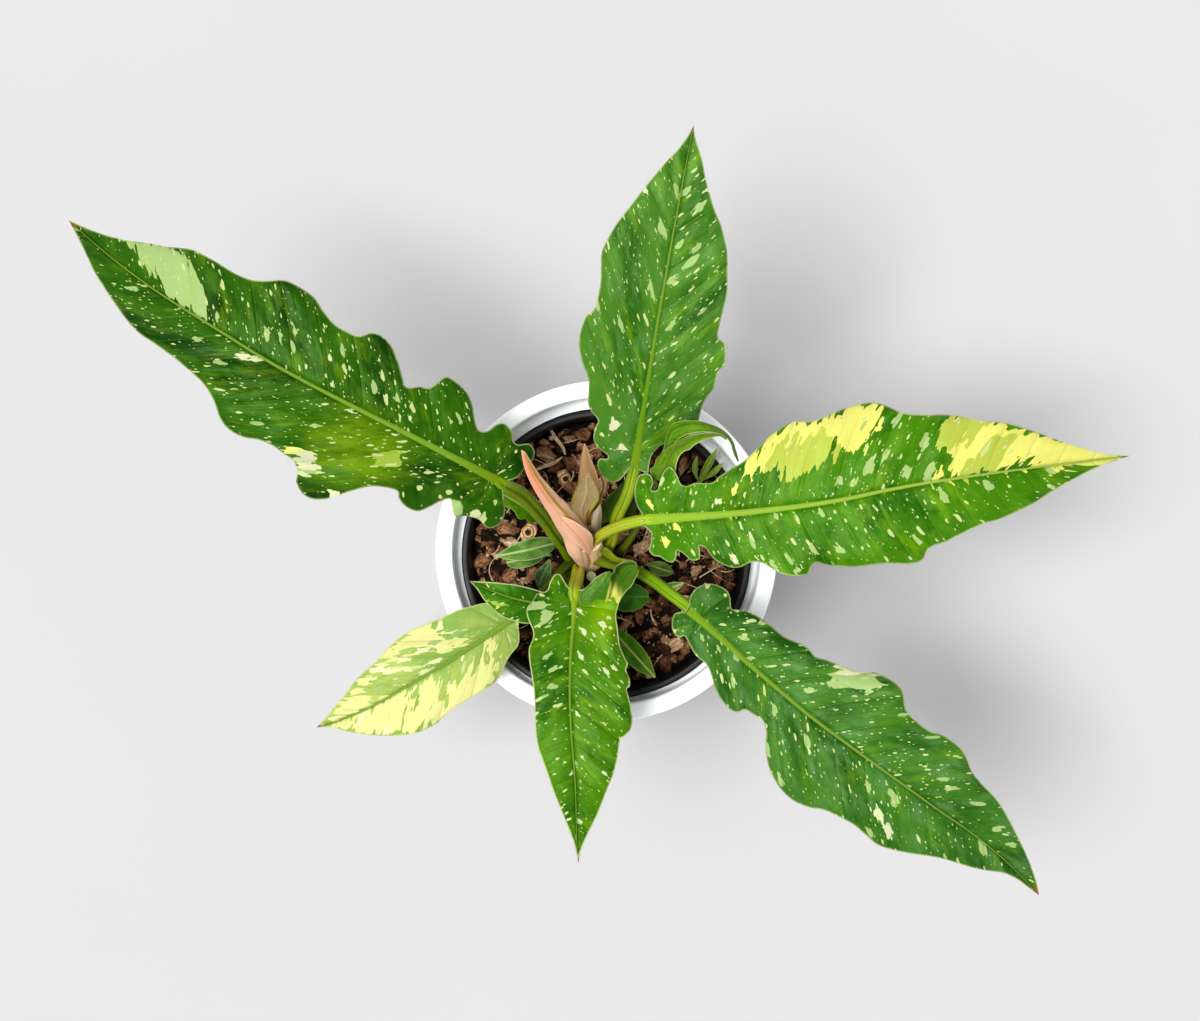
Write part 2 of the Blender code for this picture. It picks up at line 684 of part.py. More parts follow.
BLADES = (
    Blade(
        name="west", foot=(-50.7, 33.9), heading=148.7, foot_half_width=3.6,
        spine=[(0, 250), (30, 264), (70, 278), (110, 284), (150, 282), (190, 272), (220, 260), (256, 243)],
        rib=[(0, -0.5), (20, 0.5), (50, 2.5), (80, 4.8), (110, 6.8), (130, 7.5), (160, 7.2), (190, 7.0),
             (215, 5.5), (235, 3.2), (256, 0)],
        left=[(-3, 6), (-7, 12), (-7, 19), (-3, 22.5), (2, 21), (8, 22.5), (13, 25.5), (17, 22),
              (19.5, 19.5), (23, 23), (26, 28), (30, 33), (36, 34), (41, 32), (43, 29.5), (48, 30.5),
              (55, 34), (62, 41), (70, 50), (76, 54), (82, 54.5), (87, 51), (89, 46), (93, 42.5),
              (98, 42), (105, 41.5), (112, 42.5), (120, 45.5), (128, 46), (134, 43.5), (141, 37.5),
              (149, 33.5), (158, 31.5), (170, 30), (182, 29.3), (191, 28.8), (200, 26.7), (210, 23),
              (220, 19), (230, 14.5), (240, 8.5), (250, 3)],
        right=[(-3, -7), (-4, -14), (-5, -19), (-3, -23), (1, -24), (5, -21), (8, -21.5), (11, -25),
               (16, -26.5), (19, -24), (21, -19), (25, -17), (29, -20), (34, -26), (40, -30),
               (48, -31.5), (52, -30.5), (54, -25), (56, -21.5), (60, -20), (65, -16.5), (69, -19.5),
               (75, -25), (82, -30), (88, -31.5), (93, -30), (97, -25.5), (103, -24.5), (110, -24.5),
               (118, -27), (126, -30.5), (135, -31), (142, -30), (149, -25.5), (156, -22), (165, -20.5),
               (176, -20.5), (188, -20), (195, -17.5), (203, -14), (212, -11), (222, -7), (232, -4),
               (242, -2), (250, -0.8)],
        colour=(0.03, 0.11, 0.045), wave_start=(0.02, 0.1),
    ),
    Blade(
        name="east", foot=(18.3, 16.4), heading=7.5, foot_half_width=2.9,
        spine=[(0, 236), (30, 247), (70, 258), (110, 263), (150, 261), (190, 252), (220, 241), (249, 228)],
        rib=[(0, 0.5), (20, -0.7), (40, -1.9), (60, -2.5), (80, -2.7), (100, -2.1), (120, -0.5),
             (140, 0.5), (170, 1), (200, 1), (220, 0.8), (249, 0.5)],
        left=[(-2, 8), (-2.5, 15), (0, 22), (3, 23.5), (6.5, 22.5), (7.5, 18.5), (6, 15), (9, 14.5),
              (11, 19), (13.5, 23.5), (17, 25), (19.5, 21), (21, 16), (24, 14.5), (28, 15.5), (36, 14.5),
              (40, 17), (46, 20), (53, 23), (60, 28), (68, 34), (76, 38), (80, 39.2), (88, 38),
              (95, 39.5), (104, 42), (112, 43.5), (120, 43.5), (126, 41), (132, 37), (138, 35),
              (146, 33.8), (154, 33), (162, 31), (172, 27.5), (180, 26), (190, 23), (200, 18.5),
              (210, 13.5), (220, 9), (230, 5), (240, 2)],
        right=[(3, -6.5), (2.5, -11), (1, -15), (3, -18), (6, -19), (9, -21.5), (12, -22.5), (14, -20),
               (15, -17), (18, -19), (21, -22.5), (25, -22.5), (26, -19), (26, -16), (29, -17.5),
               (33, -24), (40, -28.5), (45, -29), (49, -27.5), (54, -27.5), (58, -30), (63, -34),
               (70, -36.5), (77, -36.5), (79, -33), (82, -31.5), (87, -33.5), (94, -35), (102, -36),
               (110, -36), (118, -36.5), (127, -38), (134, -37), (138, -31.5), (146, -29.7),
               (155, -26.5), (165, -23.5), (175, -22), (185, -19.5), (195, -16), (205, -11.5),
               (215, -8), (225, -4.5), (235, -2), (243, -0.5)],
        colour=(0.35, 0.42, 0.05), wave_start=(0.3, 0.8), left_lift=3.0,
    ),
    Blade(
        name="north", foot=(15.7, 42.0), heading=81.0, foot_half_width=3.1,
        spine=[(0, 243), (30, 262), (60, 277), (90, 288), (120, 295), (150, 298), (166, 297)],
        rib=[(0, 2), (30, 2.2), (70, 2.3), (90, 2), (110, 1.8), (130, 1.3), (150, 0.8), (166, 0.3)],
        left=[(-3, 6), (-7, 9), (-8, 13), (-5, 18), (-1, 20.5), (2.5, 20), (3, 16.5), (5, 16.5), (8, 22),
              (12, 24.5), (17, 24.5), (21, 23.7), (25, 28), (29, 30), (34, 30.5), (40, 31.5), (46, 35),
              (53, 38), (60, 39), (66, 38), (70, 36.5), (72.5, 34), (78, 33), (86, 32.7), (93, 33.6),
              (100, 34.4), (107, 32.5), (114, 29.5), (122, 25), (130, 20.5), (138, 16), (146, 11),
              (154, 5.5), (161, 2)],
        right=[(-1, -5), (3, -5), (8, -5.5), (13, -8.5), (17, -14), (20, -20), (23, -24.5), (27, -25.5),
               (35, -26), (40, -27.5), (45, -30), (52, -30.5), (56, -33), (61, -33),
               (67, -31.5), (69, -28), (73, -27.5), (80, -28), (90, -28.5), (100, -27), (110, -25),
               (120, -21), (128, -16), (136, -12), (143, -9), (150, -6.5), (157, -3), (163, -0.5)],
        colour=(0.035, 0.16, 0.06), wave_start=(0.6, 0.2), right_lift=-1.5,
    ),
    Blade(
        name="southeast", foot=(41.3, -27.3), heading=-39.4, foot_half_width=3.0,
        spine=[(0, 226), (30, 236), (70, 246), (110, 250), (150, 247), (190, 237), (232, 220)],
        rib=[(0, -1), (20, -1.5), (40, -2.5), (60, -3), (80, -3.2), (100, -2.3), (120, -1.2), (140, 0),
             (160, 1.2), (180, 2.8), (200, 3), (215, 2), (232, 0)],
        left=[(-2, 3.4), (-3, 9), (-1, 14), (3, 17.5), (9, 19), (13, 17.5), (17, 13.5), (20, 15), (24, 17.5),
              (30, 18.8), (38, 19.3), (46, 19.3), (52, 21), (58, 22.5), (64, 21.5), (70, 24), (78, 26.5),
              (85, 29), (92, 34), (98, 36), (104, 36.5), (109, 35), (113, 31), (117, 29), (125, 28.5),
              (132, 29), (138, 31.5), (147, 32.3), (153, 31), (160, 27), (168, 25.3), (180, 24),
              (190, 21), (200, 17), (210, 12.8), (218, 9), (226, 4.5)],
        right=[(-2, -5), (-3, -8), (0, -13), (4, -15), (6.5, -14.5), (8, -12.5), (12, -14), (18, -16.3),
               (25, -16.5), (30, -19), (36, -23), (42, -25.5), (48, -26.3), (52, -25), (54, -21.5),
               (60, -20.5), (64, -20), (69, -23.5), (73, -29), (80, -35.5), (88, -39.5), (96, -41.2),
               (103, -41), (110, -38.5), (116, -35), (125, -32.5), (131, -31.3), (140, -31.5),
               (147, -31.7), (155, -29), (162, -25.5), (172, -19.5), (180, -15.5), (190, -12),
               (200, -7.5), (208, -3), (216, -0.8), (225, -0.4)],
        colour=(0.025, 0.1, 0.05), wave_start=(0.85, 0.4),
    ),
    Blade(
        name="south", foot=(-16.7, -19.2), heading=-88.9, foot_half_width=3.4,
        spine=[(0, 210), (30, 219), (60, 225), (90, 226), (120, 221), (140, 213)],
        rib=[(0, 0), (15, -0.5), (30, -2), (45, -2.8), (60, -3), (75, -2.5), (90, -1.5), (105, -1),
             (130, -1), (140, -0.5)],
        left=[(-1, 6), (-6, 11), (-9, 17), (-7, 19), (-12, 22), (-15, 28), (-13, 32.5), (-7, 32),
              (-2, 27.5), (3, 24.5), (10, 22), (14, 21.3), (20, 22), (28, 22.8), (34, 25), (38, 26.8),
              (41, 25.8), (45, 27.5), (49, 27.5), (50.5, 26), (55, 27), (60, 28), (67, 28.5), (72, 27),
              (76, 22.5), (80, 21.5), (86, 20.5), (93, 18.5), (100, 15.5), (108, 12.5), (116, 9),
              (124, 5), (132, 1.5)],
        right=[(-4, -4.6), (-8, -7), (-8, -10), (-4, -12.5), (0, -14), (1.5, -19), (5, -21.5), (9, -24.5),
               (14, -24), (20, -21.5), (24, -21.5), (29, -23.5), (35, -23.5), (42, -22.5), (50, -21.5),
               (60, -21), (70, -21), (78, -20), (86, -17.5), (95, -14.5), (103, -12), (111, -9),
               (119, -6), (127, -3), (134, -1.5)],
        colour=(0.05, 0.3, 0.04), wave=1.6, wave_start=(0.1, 0.7), left_lift=1.2,
    ),
    Blade(
        name="southwest", foot=(-45.8, -36.8), heading=-152.4, foot_half_width=2.4,
        spine=[(0, 186), (30, 191), (60, 192), (90, 187), (121, 176)],
        rib=[(0, -3.5), (10, -2), (20, -1), (40, 1), (60, 2), (80, 3.2), (95, 3.2), (110, 2), (121, 0)],
        left=[(0.6, 0.8), (1.5, 2), (3, 6), (6, 10.5), (11, 12.7), (15, 15), (19, 18), (24, 21.3),
              (30, 22.7), (38, 23), (45, 23.4), (52, 24), (57, 25.2), (61, 26.6), (68, 27), (75, 26.2),
              (83, 23.5), (92, 19), (100, 14.3), (108, 8.5), (114, 3.5)],
        right=[(-1, -7), (3, -11), (8, -15), (12, -17.5), (18, -19), (25, -20.5), (35, -21), (45, -22),
               (53, -22.5), (61, -21.5), (68, -19.5), (76, -16.5), (84, -14.5), (92, -12), (99, -8.5),
               (107, -5.5), (114, -2.5)],
        colour=(0.62, 0.66, 0.28), wave=1.2, wave_start=(0.4, 0.9),
    ),
    Blade(
        name="inner", foot=(-28.3, -26.9), heading=165.0, foot_half_width=1.6,
        spine=[(0, 193), (12, 198), (24, 200), (36, 198), (45, 194)],
        rib=[(0, 0.6), (12, 2), (25, 2), (35, 1), (45, -0.3)],
        left=[(2, 7), (9, 13), (20, 13.5), (27, 11.5), (34, 7.5), (40, 2.5)],
        right=[(3, -4), (10, -5), (20, -5), (27, -4), (33, -3), (40, -1.4)],
        colour=(0.05, 0.2, 0.05), wave=0.6,
    ),
)

STALKS = (
    Stalk(
        "west", [(-20.4, -0.9, 154), (-23.3, 4.2, 170), (-27.0, 8.8, 183), (-31.0, 15.2, 196),
                 (-37.2, 23.0, 216), (-43.3, 29.8, 233), (-50.7, 33.9, 247.4)], 142, 3.7, 3.2,
    ),
    Stalk(
        "east", [(-5.6, 6.6, 159.6), (-4.6, 7.6, 176), (-2.4, 9.2, 190), (2.4, 11.8, 204),
                 (9.3, 14.6, 220), (18.3, 16.9, 233.8)], 20, 2.9, 2.8, 1.0,
    ),
    Stalk(
        "north", [(1.0, 1.8, 153), (3.3, 6.5, 172), (4.3, 13.0, 190), (6.0, 19.8, 206),
                  (9.4, 27.0, 222), (11.6, 33.2, 232), (13.9, 42.3, 240.8)], 75, 3.1, 2.9, 1.0,
    ),
    Stalk(
        "southeast", [(1.9, -5.9, 149.5), (8.2, -7.4, 172), (15.9, -10.0, 193), (24.9, -15.1, 209),
                      (33.4, -21.5, 219), (41.3, -27.6, 223.6)], -35, 3.0, 2.9,
    ),
    Stalk(
        "south", [(-15.0, -9.6, 151), (-15.2, -12.6, 172), (-15.8, -15.6, 192), (-16.7, -19.2, 208)],
        -92, 3.5, 2.6, 1.0,
    ),
    Stalk(
        "southwest", [(-19.8, -6.2, 147.5), (-26.5, -13.0, 160), (-35.8, -23.8, 174), (-47.4, -33.7, 184.4)],
        -146, 2.4, 2.2, 1.0,
    ),
    Stalk(
        "inner", [(-18.6, -9.4, 143.2), (-20.6, -12.6, 150), (-21.9, -16.0, 162), (-23.8, -21.0, 178),
                  (-28.2, -26.4, 191.6)],
        -125, 1.6, 1.6, 1.0,
    ),
    Stalk(
        "curled", [(2.6, -1.4, 142.8), (6.0, -1.2, 149), (9.8, 2.4, 164), (15.4, 11.5, 182),
                   (20.6, 24.5, 202), (24.2, 35.0, 218.5)], 58, 1.9, 1.9, 1.0,
    ),
)

SMALL_LEAVES = (
    SmallLeaf(
        "grey_leaf_front", (-27.5, 3.4), [(-30, 3.0, 150), (-40.2, 0.8, 161), (-54.8, -2.1, 157)],
        [(0.35, 1.0), (0.5, 4.2), (0.7, 5.4), (0.88, 3.8), (1, 0.5)], (0.12, 0.17, 0.1),
    ),
    SmallLeaf(
        "grey_leaf_rear", (-30.5, -4.4), [(-33.5, -4.6, 146), (-42.1, -6.4, 151), (-54.1, -9.2, 149)],
        [(0.35, 1.0), (0.5, 3.4), (0.7, 4.8), (0.88, 4.0), (1, 1.2)], (0.1, 0.15, 0.09),
    ),
    SmallLeaf(
        "lobed_leaf", (-32.5, 14.0), [(-35, 16.5, 158), (-44.2, 24.1, 182), (-58.6, 32.9, 190)],
        [(0.4, 1.0), (0.52, 5.4), (0.6, 4.4), (0.7, 6.8), (0.79, 4.6), (0.88, 5.0), (1, 0.6)],
        (0.06, 0.18, 0.07),
    ),
    SmallLeaf(
        "round_leaf", (1.6, -24.5), [(4.0, -24.3, 156), (12.6, -24.4, 163), (22.6, -24.2, 163)],
        [(0.45, 1.0), (0.56, 5.6), (0.72, 8.0), (0.88, 6.4), (1, 2.2)], (0.03, 0.09, 0.05),
    ),
    SmallLeaf(
        "pointed_leaf", (2.0, -41.5), [(5.0, -44.2, 155), (13.7, -53.8, 163), (26.1, -67.7, 158)],
        [(0.3, 1.0), (0.45, 4.0), (0.65, 5.8), (0.82, 4.6), (1, 0.5)], (0.05, 0.22, 0.07),
    ),
    SmallLeaf(
        "flat_leaf", (36.0, -11.8), [(34.5, -11.4, 149), (28.5, -9.4, 152.5), (21.9, -7.1, 150)],
        [(0.45, 1.0), (0.6, 3.0), (0.78, 3.8), (1, 0.5)], (0.08, 0.2, 0.08),
    ),
    SmallLeaf(
        "leaf_tip", (29.2, -21.4), [(31.0, -20.9, 150), (35.8, -19.4, 156), (41.6, -17.1, 157)],
        [(0.4, 0.9), (0.6, 2.4), (0.8, 2.8), (1, 0.5)], (0.14, 0.2, 0.12),
    ),
    SmallLeaf(
        "striped_leaf", (-36.6, -19.0), [(-35.6, -16.6, 151), (-32.6, -10.4, 161), (-30.2, -4.4, 164)],
        [(0.35, 1.0), (0.55, 3.4), (0.75, 4.2), (1, 0.6)], (0.12, 0.26, 0.08),
    ),
)

SHOOT_FOOT = (50.5, 37.1)
SHOOT_STALK_RADIUS = 1.3
SIDE_SHOOT_SHARE = 0.6
SHOOT_TIP_HALF_WIDTH = 0.35
SHOOT_BLADES = (
    ([(51.6, 40.0, 154), (54.1, 45.9, 166), (58.3, 54.1, 178)], 1.9, True),
    ([(50.7, 37.8, 146), (54.4, 39.8, 154), (58.2, 42.9, 161), (62.0, 47.0, 164)], 1.5, False),
    ([(50.7, 37.6, 145), (48.4, 40.4, 153), (47.2, 45.0, 162), (48.0, 50.2, 168)], 1.4, False),
)


def build_shoot():
    """A spiky seedling: narrow blades from one stalk."""
    parts = []
    for corners, half, rooted in SHOOT_BLADES:
        radius = SHOOT_STALK_RADIUS if rooted else SIDE_SHOOT_SHARE * SHOOT_STALK_RADIUS
        widths = [(0.35, radius), (0.6, half), (0.8, half), (1, SHOOT_TIP_HALF_WIDTH)]
        leaf = SmallLeaf("shoot", SHOOT_FOOT, corners, widths, (0.2, 0.34, 0.1), radius, rooted=rooted)
        parts.append(leaf.build())
    combine(parts[0], parts[1:], "UNION", "MANIFOLD")
    parts[0].name = "seedling"
    return parts[0]


CURLED_CORNERS = (
    (24.0, 36.4, 221.4), (25.6, 41.4, 233.5), (26.4, 46.7, 247), (30.2, 51.7, 257), (33.0, 55.0, 262),
    (39.2, 58.6, 267), (45.7, 60.2, 268), (53.2, 59.9, 262), (59.8, 57.8, 250), (63.6, 53.3, 238),
    (66.2, 46.9, 226),
)
CURLED_HALF_WIDTHS = (
    (0, 0.4), (0.08, 2.0), (0.2, 3.0), (0.32, 5.4), (0.7, 5.6), (0.9, 3.6), (1, 0.9),
)


def build_curled_leaf():
    """The half-rolled leaf behind the east one: a band folded up along its rib."""
    fold = sizes_mm(CURLED_HALF_WIDTHS)
    bm = swept(points_mm(CURLED_CORNERS), CURLED_SECTION, fold, fold, steps=2)
    return add_object("blade_curled", bm, (0.1, 0.3, 0.06), 0.4)


@dataclass
class Sheath:
    """A sheath, bud or stub that stands on the crown, with its places and sizes in millimetres.

    widths and heights are (fraction of the path, half size) pairs.
    """

    name: str
    corners: list
    section: tuple
    widths: list
    heights: list
    heading: float
    colour: tuple
    steps: int = 3

    def run(self, grown=0.0):
        """The sheath's body, or with grown the space that it needs all round."""
        corners = points_mm(self.corners)
        section = self.section
        if grown:
            start = Vector(corners[0])
            corners[0] = start - (Vector(corners[1]) - start).normalized() * grown
            section = SEAT_SECTION if section == BOAT_SECTION else section
        return swept(
            corners, section,
            [(fraction, size * MM + grown) for fraction, size in self.widths],
            [(fraction, size * MM + grown) for fraction, size in self.heights],
            across=level_across(self.heading), steps=self.steps,
        )

    def build(self):
        """Make the sheath."""
        return add_object(self.name, self.run(), self.colour, 0.5)


SHEATHS = (
    Sheath(
        "pink_sheath", [(-6.4, -3.2, 161.4), (-12.2, -0.8, 177), (-17.5, 7.3, 193), (-23.9, 18.4, 215),
                        (-30.8, 32.9, 249), (-41.4, 50.3, 289)], ROUND_SECTION,
        [(0, 5.4), (0.2, 6.1), (0.4, 5.7), (0.7, 4.3), (0.88, 2.4), (1, 0.4)],
        [(0, 4.4), (0.2, 4.6), (0.4, 4.0), (0.7, 3.0), (0.88, 1.7), (1, 0.4)], 122, (0.75, 0.32, 0.28),
    ),
    Sheath(
        "rear_bud", [(-9.8, 10.2, 155), (-8.4, 16.4, 180), (-8.8, 30.6, 210), (-11.4, 54.6, 249)],
        BOAT_SECTION, [(0, 2.4), (0.2, 3.6), (0.5, 5.4), (0.8, 3.4), (1, 0.7)],
        [(0, 2.2), (0.3, 2.2), (0.7, 2.0), (1, 0.7)], 90, (0.5, 0.34, 0.2),
    ),
    Sheath(
        "spoon_bud", [(-12.2, 5.9, 158.4), (-10.6, 8.3, 172), (-10.2, 16.6, 200), (-10.4, 27.0, 230),
                      (-9.0, 40.2, 261)],
        BOAT_SECTION, [(0, 1.6), (0.2, 1.7), (0.45, 4.2), (0.68, 6.6), (0.88, 4.0), (1, 0.7)],
        [(0, 1.5), (0.3, 1.6), (0.7, 2.0), (1, 0.7)], 90, (0.42, 0.4, 0.26),
    ),
    Sheath(
        "cut_stub", [(-8.5, -11.2, 148.5), (-8.2, -12.4, 160), (-8.0, -13.2, 174)], ROUND_SECTION,
        [(0, 2.3), (1, 2.5)], [(0, 2.3), (1, 2.5)], -90, (0.6, 0.55, 0.38), 1,
    ),
)

STRAND = Sheath(
    "withered_strand", [(-2.8, 12.4, 168), (-2.2, 16.4, 186), (-4.4, 21.5, 203), (-3.4, 28.2, 218),
                        (-1.9, 34.6, 232), (-4.9, 41.8, 244)], LEAF_SECTION,
    [(0, 1.1), (0.5, 0.9), (1, 0.4)], [(0, 0.9), (0.5, 0.6), (1, 0.35)], 90, (0.3, 0.14, 0.06), 2,
)


def build_crown():
    """The short thick stem, with a seat for each stalk and sheath that grows from it."""
    foot = CROWN_CENTRE + Vector((0, 0, CROWN_FOOT))
    profile = [(0, 0)] + list(CROWN_PROFILE) + [(0, CROWN_HEIGHT)]
    bm = turned(profile, CROWN_SIDES, foot)
    crown = add_object("crown", bm, (0.28, 0.2, 0.1), 0.7)
    seats = [add_object("seat", growth.run(SOCKET_GAP)) for growth in STALKS + SHEATHS]
    combine(crown, seats, "DIFFERENCE")
    return crown


def main():
    """Build the plant and its pots."""
    clear_scene()
    build_outer_pot()
    build_liner()
    stems = [(leaf.foot, leaf.stalk_radius, leaf.sink) for leaf in SMALL_LEAVES]
    stems.append((SHOOT_FOOT, SHOOT_STALK_RADIUS, SMALL_LEAVES[0].sink))
    build_bark_mix(stems)
    build_crown()
    blades = {blade.name: blade for blade in BLADES}
    for blade in BLADES:
        blade.build()
    for stalk in STALKS:
        stalk.build(blades.get(stalk.name))
    build_curled_leaf()
    for sheath in SHEATHS + (STRAND,):
        sheath.build()
    for leaf in SMALL_LEAVES:
        leaf.build()
    build_shoot()


main()
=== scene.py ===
"""The looks of a potted philodendron: lobed variegated blades over bark mix, a black liner and a white pot.

Places and sizes are in millimetres, and MM turns them to metres. A blade's own places run along its
rib from the foot (x) and to the left of it (y). The pot's flat base is at height 0.
"""

import logging
import math
import random
from dataclasses import dataclass, field
from enum import Enum
from typing import Any, Sequence

import bmesh
import bpy
import numpy as np
from mathutils import Matrix, Vector, geometry, noise


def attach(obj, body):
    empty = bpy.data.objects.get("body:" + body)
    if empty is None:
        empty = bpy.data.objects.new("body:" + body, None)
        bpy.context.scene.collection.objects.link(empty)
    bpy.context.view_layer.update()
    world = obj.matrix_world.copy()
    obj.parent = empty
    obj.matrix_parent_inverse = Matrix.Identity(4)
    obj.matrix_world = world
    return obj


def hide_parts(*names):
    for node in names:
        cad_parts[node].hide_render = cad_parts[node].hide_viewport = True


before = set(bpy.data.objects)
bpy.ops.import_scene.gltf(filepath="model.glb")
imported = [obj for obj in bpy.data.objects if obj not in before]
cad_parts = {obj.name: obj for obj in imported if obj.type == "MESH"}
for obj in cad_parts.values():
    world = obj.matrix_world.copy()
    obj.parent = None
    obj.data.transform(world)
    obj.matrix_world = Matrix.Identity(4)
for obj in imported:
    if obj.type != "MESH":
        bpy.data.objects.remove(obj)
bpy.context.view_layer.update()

MM = 0.001
BODY = "root"
STUDIO_LIGHT = 2.1
UP = (0.0, 0.0, 1.0)

Pair = tuple[float, float]
Triple = tuple[float, float, float]
Numbers = float | np.ndarray

log = logging.getLogger("philodendron")


class Tint(Enum):
    """The colours of pale tissue in a variegated blade, and of the painted glow of light through thin
    tissue, each with the name of its field on the mesh.
    """

    GLOW = "glow"
    LIME = "lime"
    SAGE = "sage"
    YELLOW = "yellow"
    CREAM = "cream"


FLECKS = "_flecks"


def seen(colour: Any) -> Any:
    """Turn a colour of 0 to 255 a channel, as the studio's light shows it, into a base colour.

    Args:
        colour: The colour's three channels, or a signal.

    Returns:
        The base colour, or the signal as it is.
    """
    if isinstance(colour, Signal):
        return colour
    shares = [value / 255 for value in colour]
    linear = [s / 12.92 if s <= 0.04045 else ((s + 0.055) / 1.055) ** 2.4 for s in shares]
    return (*(value / STUDIO_LIGHT for value in linear), 1.0)


def eased(values: np.ndarray, low: float, high: float) -> np.ndarray:
    """Rise smoothly from 0 at low to 1 at high."""
    share = np.clip((values - low) / (high - low), 0, 1)
    return share * share * (3 - 2 * share)


def value_at(points: Sequence[Pair], places: np.ndarray) -> np.ndarray:
    """Read a smooth line through points, carried on straight past its ends.

    Args:
        points: The line's (place, value) points.
        places: Where to read it.

    Returns:
        The line's value at each place.
    """
    at, value = np.array(points, float).T
    slope = np.empty(len(at))
    slope[1:-1] = (value[2:] - value[:-2]) / (at[2:] - at[:-2])
    slope[0] = (value[1] - value[0]) / (at[1] - at[0])
    slope[-1] = (value[-1] - value[-2]) / (at[-1] - at[-2])
    index = np.clip(np.searchsorted(at, places, side="right") - 1, 0, len(at) - 2)
    span = at[index + 1] - at[index]
    t = np.clip((places - at[index]) / span, 0, 1)
    inside = (
        value[index] * (1 + 2 * t) * (1 - t) ** 2 + value[index + 1] * t * t * (3 - 2 * t)
        + span * slope[index] * t * (1 - t) ** 2 - span * slope[index + 1] * t * t * (1 - t)
    )
    return inside + np.minimum(places - at[0], 0) * slope[0] + np.maximum(places - at[-1], 0) * slope[-1]


def smooth_path(corners: Sequence[Sequence[float]], steps: int) -> np.ndarray:
    """Run a smooth curve through corners, with each span cut into steps, one point a row."""
    places = np.array(corners, float)
    padded = np.vstack([places[:1], places, places[-1:]])
    t = (np.arange(steps) / steps)[:, None]
    rows = [
        0.5 * (
            2 * start + (end - before) * t + (2 * before - 5 * start + 4 * end - after) * t ** 2
            + (3 * start - before - 3 * end + after) * t ** 3
        )
        for before, start, end, after in zip(padded, padded[1:], padded[2:], padded[3:])
    ]
    return np.vstack(rows + [places[-1:]])


def lengths_along(path: np.ndarray) -> np.ndarray:
    """The length from a path's start to each of its points."""
    return np.concatenate([[0], np.cumsum(np.linalg.norm(np.diff(path, axis=0), axis=1))])


def arc(centre: Pair, radius: float, start: float, end: float, steps: int) -> list[Pair]:
    """Points of a round stretch of a (radius, height) profile, from start to end in degrees."""
    angles = [math.radians(start + (end - start) * step / steps) for step in range(steps + 1)]
    return [(centre[0] + radius * math.cos(a), centre[1] + radius * math.sin(a)) for a in angles]


def margin_distance(places: np.ndarray, outline: np.ndarray) -> np.ndarray:
    """Distance from each place to a closed outline.

    Args:
        places: The (x, y) places, one row each.
        outline: The outline's corners, one row each.

    Returns:
        The distances, negative outside the outline.
    """
    nearest = np.full(len(places), np.inf)
    inside = np.zeros(len(places), bool)
    x, y = places.T
    for start, end in zip(outline, np.roll(outline, -1, axis=0)):
        run = end - start
        length = run @ run
        if length == 0:
            continue
        t = np.clip((places - start) @ run / length, 0, 1)
        nearest = np.minimum(nearest, np.linalg.norm(start + t[:, None] * run - places, axis=1))
        if run[1] != 0:
            crossing = start[0] + (y - start[1]) * run[0] / run[1]
            inside ^= ((start[1] > y) != (end[1] > y)) & (crossing > x)
    return np.where(inside, nearest, -nearest)


def turns(sides: int) -> np.ndarray:
    """Even angles round a circle."""
    return np.arange(sides) * (math.tau / sides)


def level_ring(centre: Pair, reach: Numbers, height: float, sides: int) -> np.ndarray:
    """A level ring of corners round an upright axis, at one reach or at one for each corner."""
    angles = turns(sides)
    x, y = centre[0] + reach * np.cos(angles), centre[1] + reach * np.sin(angles)
    return np.stack([x, y, np.full(sides, float(height))], axis=-1)


def rough_ring(sides: int, scale: float, level: float) -> np.ndarray:
    """Smooth random numbers of -1 to 1 round a ring, with waves set by a scale and changed by a level."""
    circle = [Vector((math.cos(a) * scale, math.sin(a) * scale, level)) for a in turns(sides)]
    return np.array([noise.noise(place) for place in circle])


def level_across(heading: float) -> Triple:
    """The level direction to the left of a heading in degrees from +X."""
    return (-math.sin(math.radians(heading)), math.cos(math.radians(heading)), 0.0)


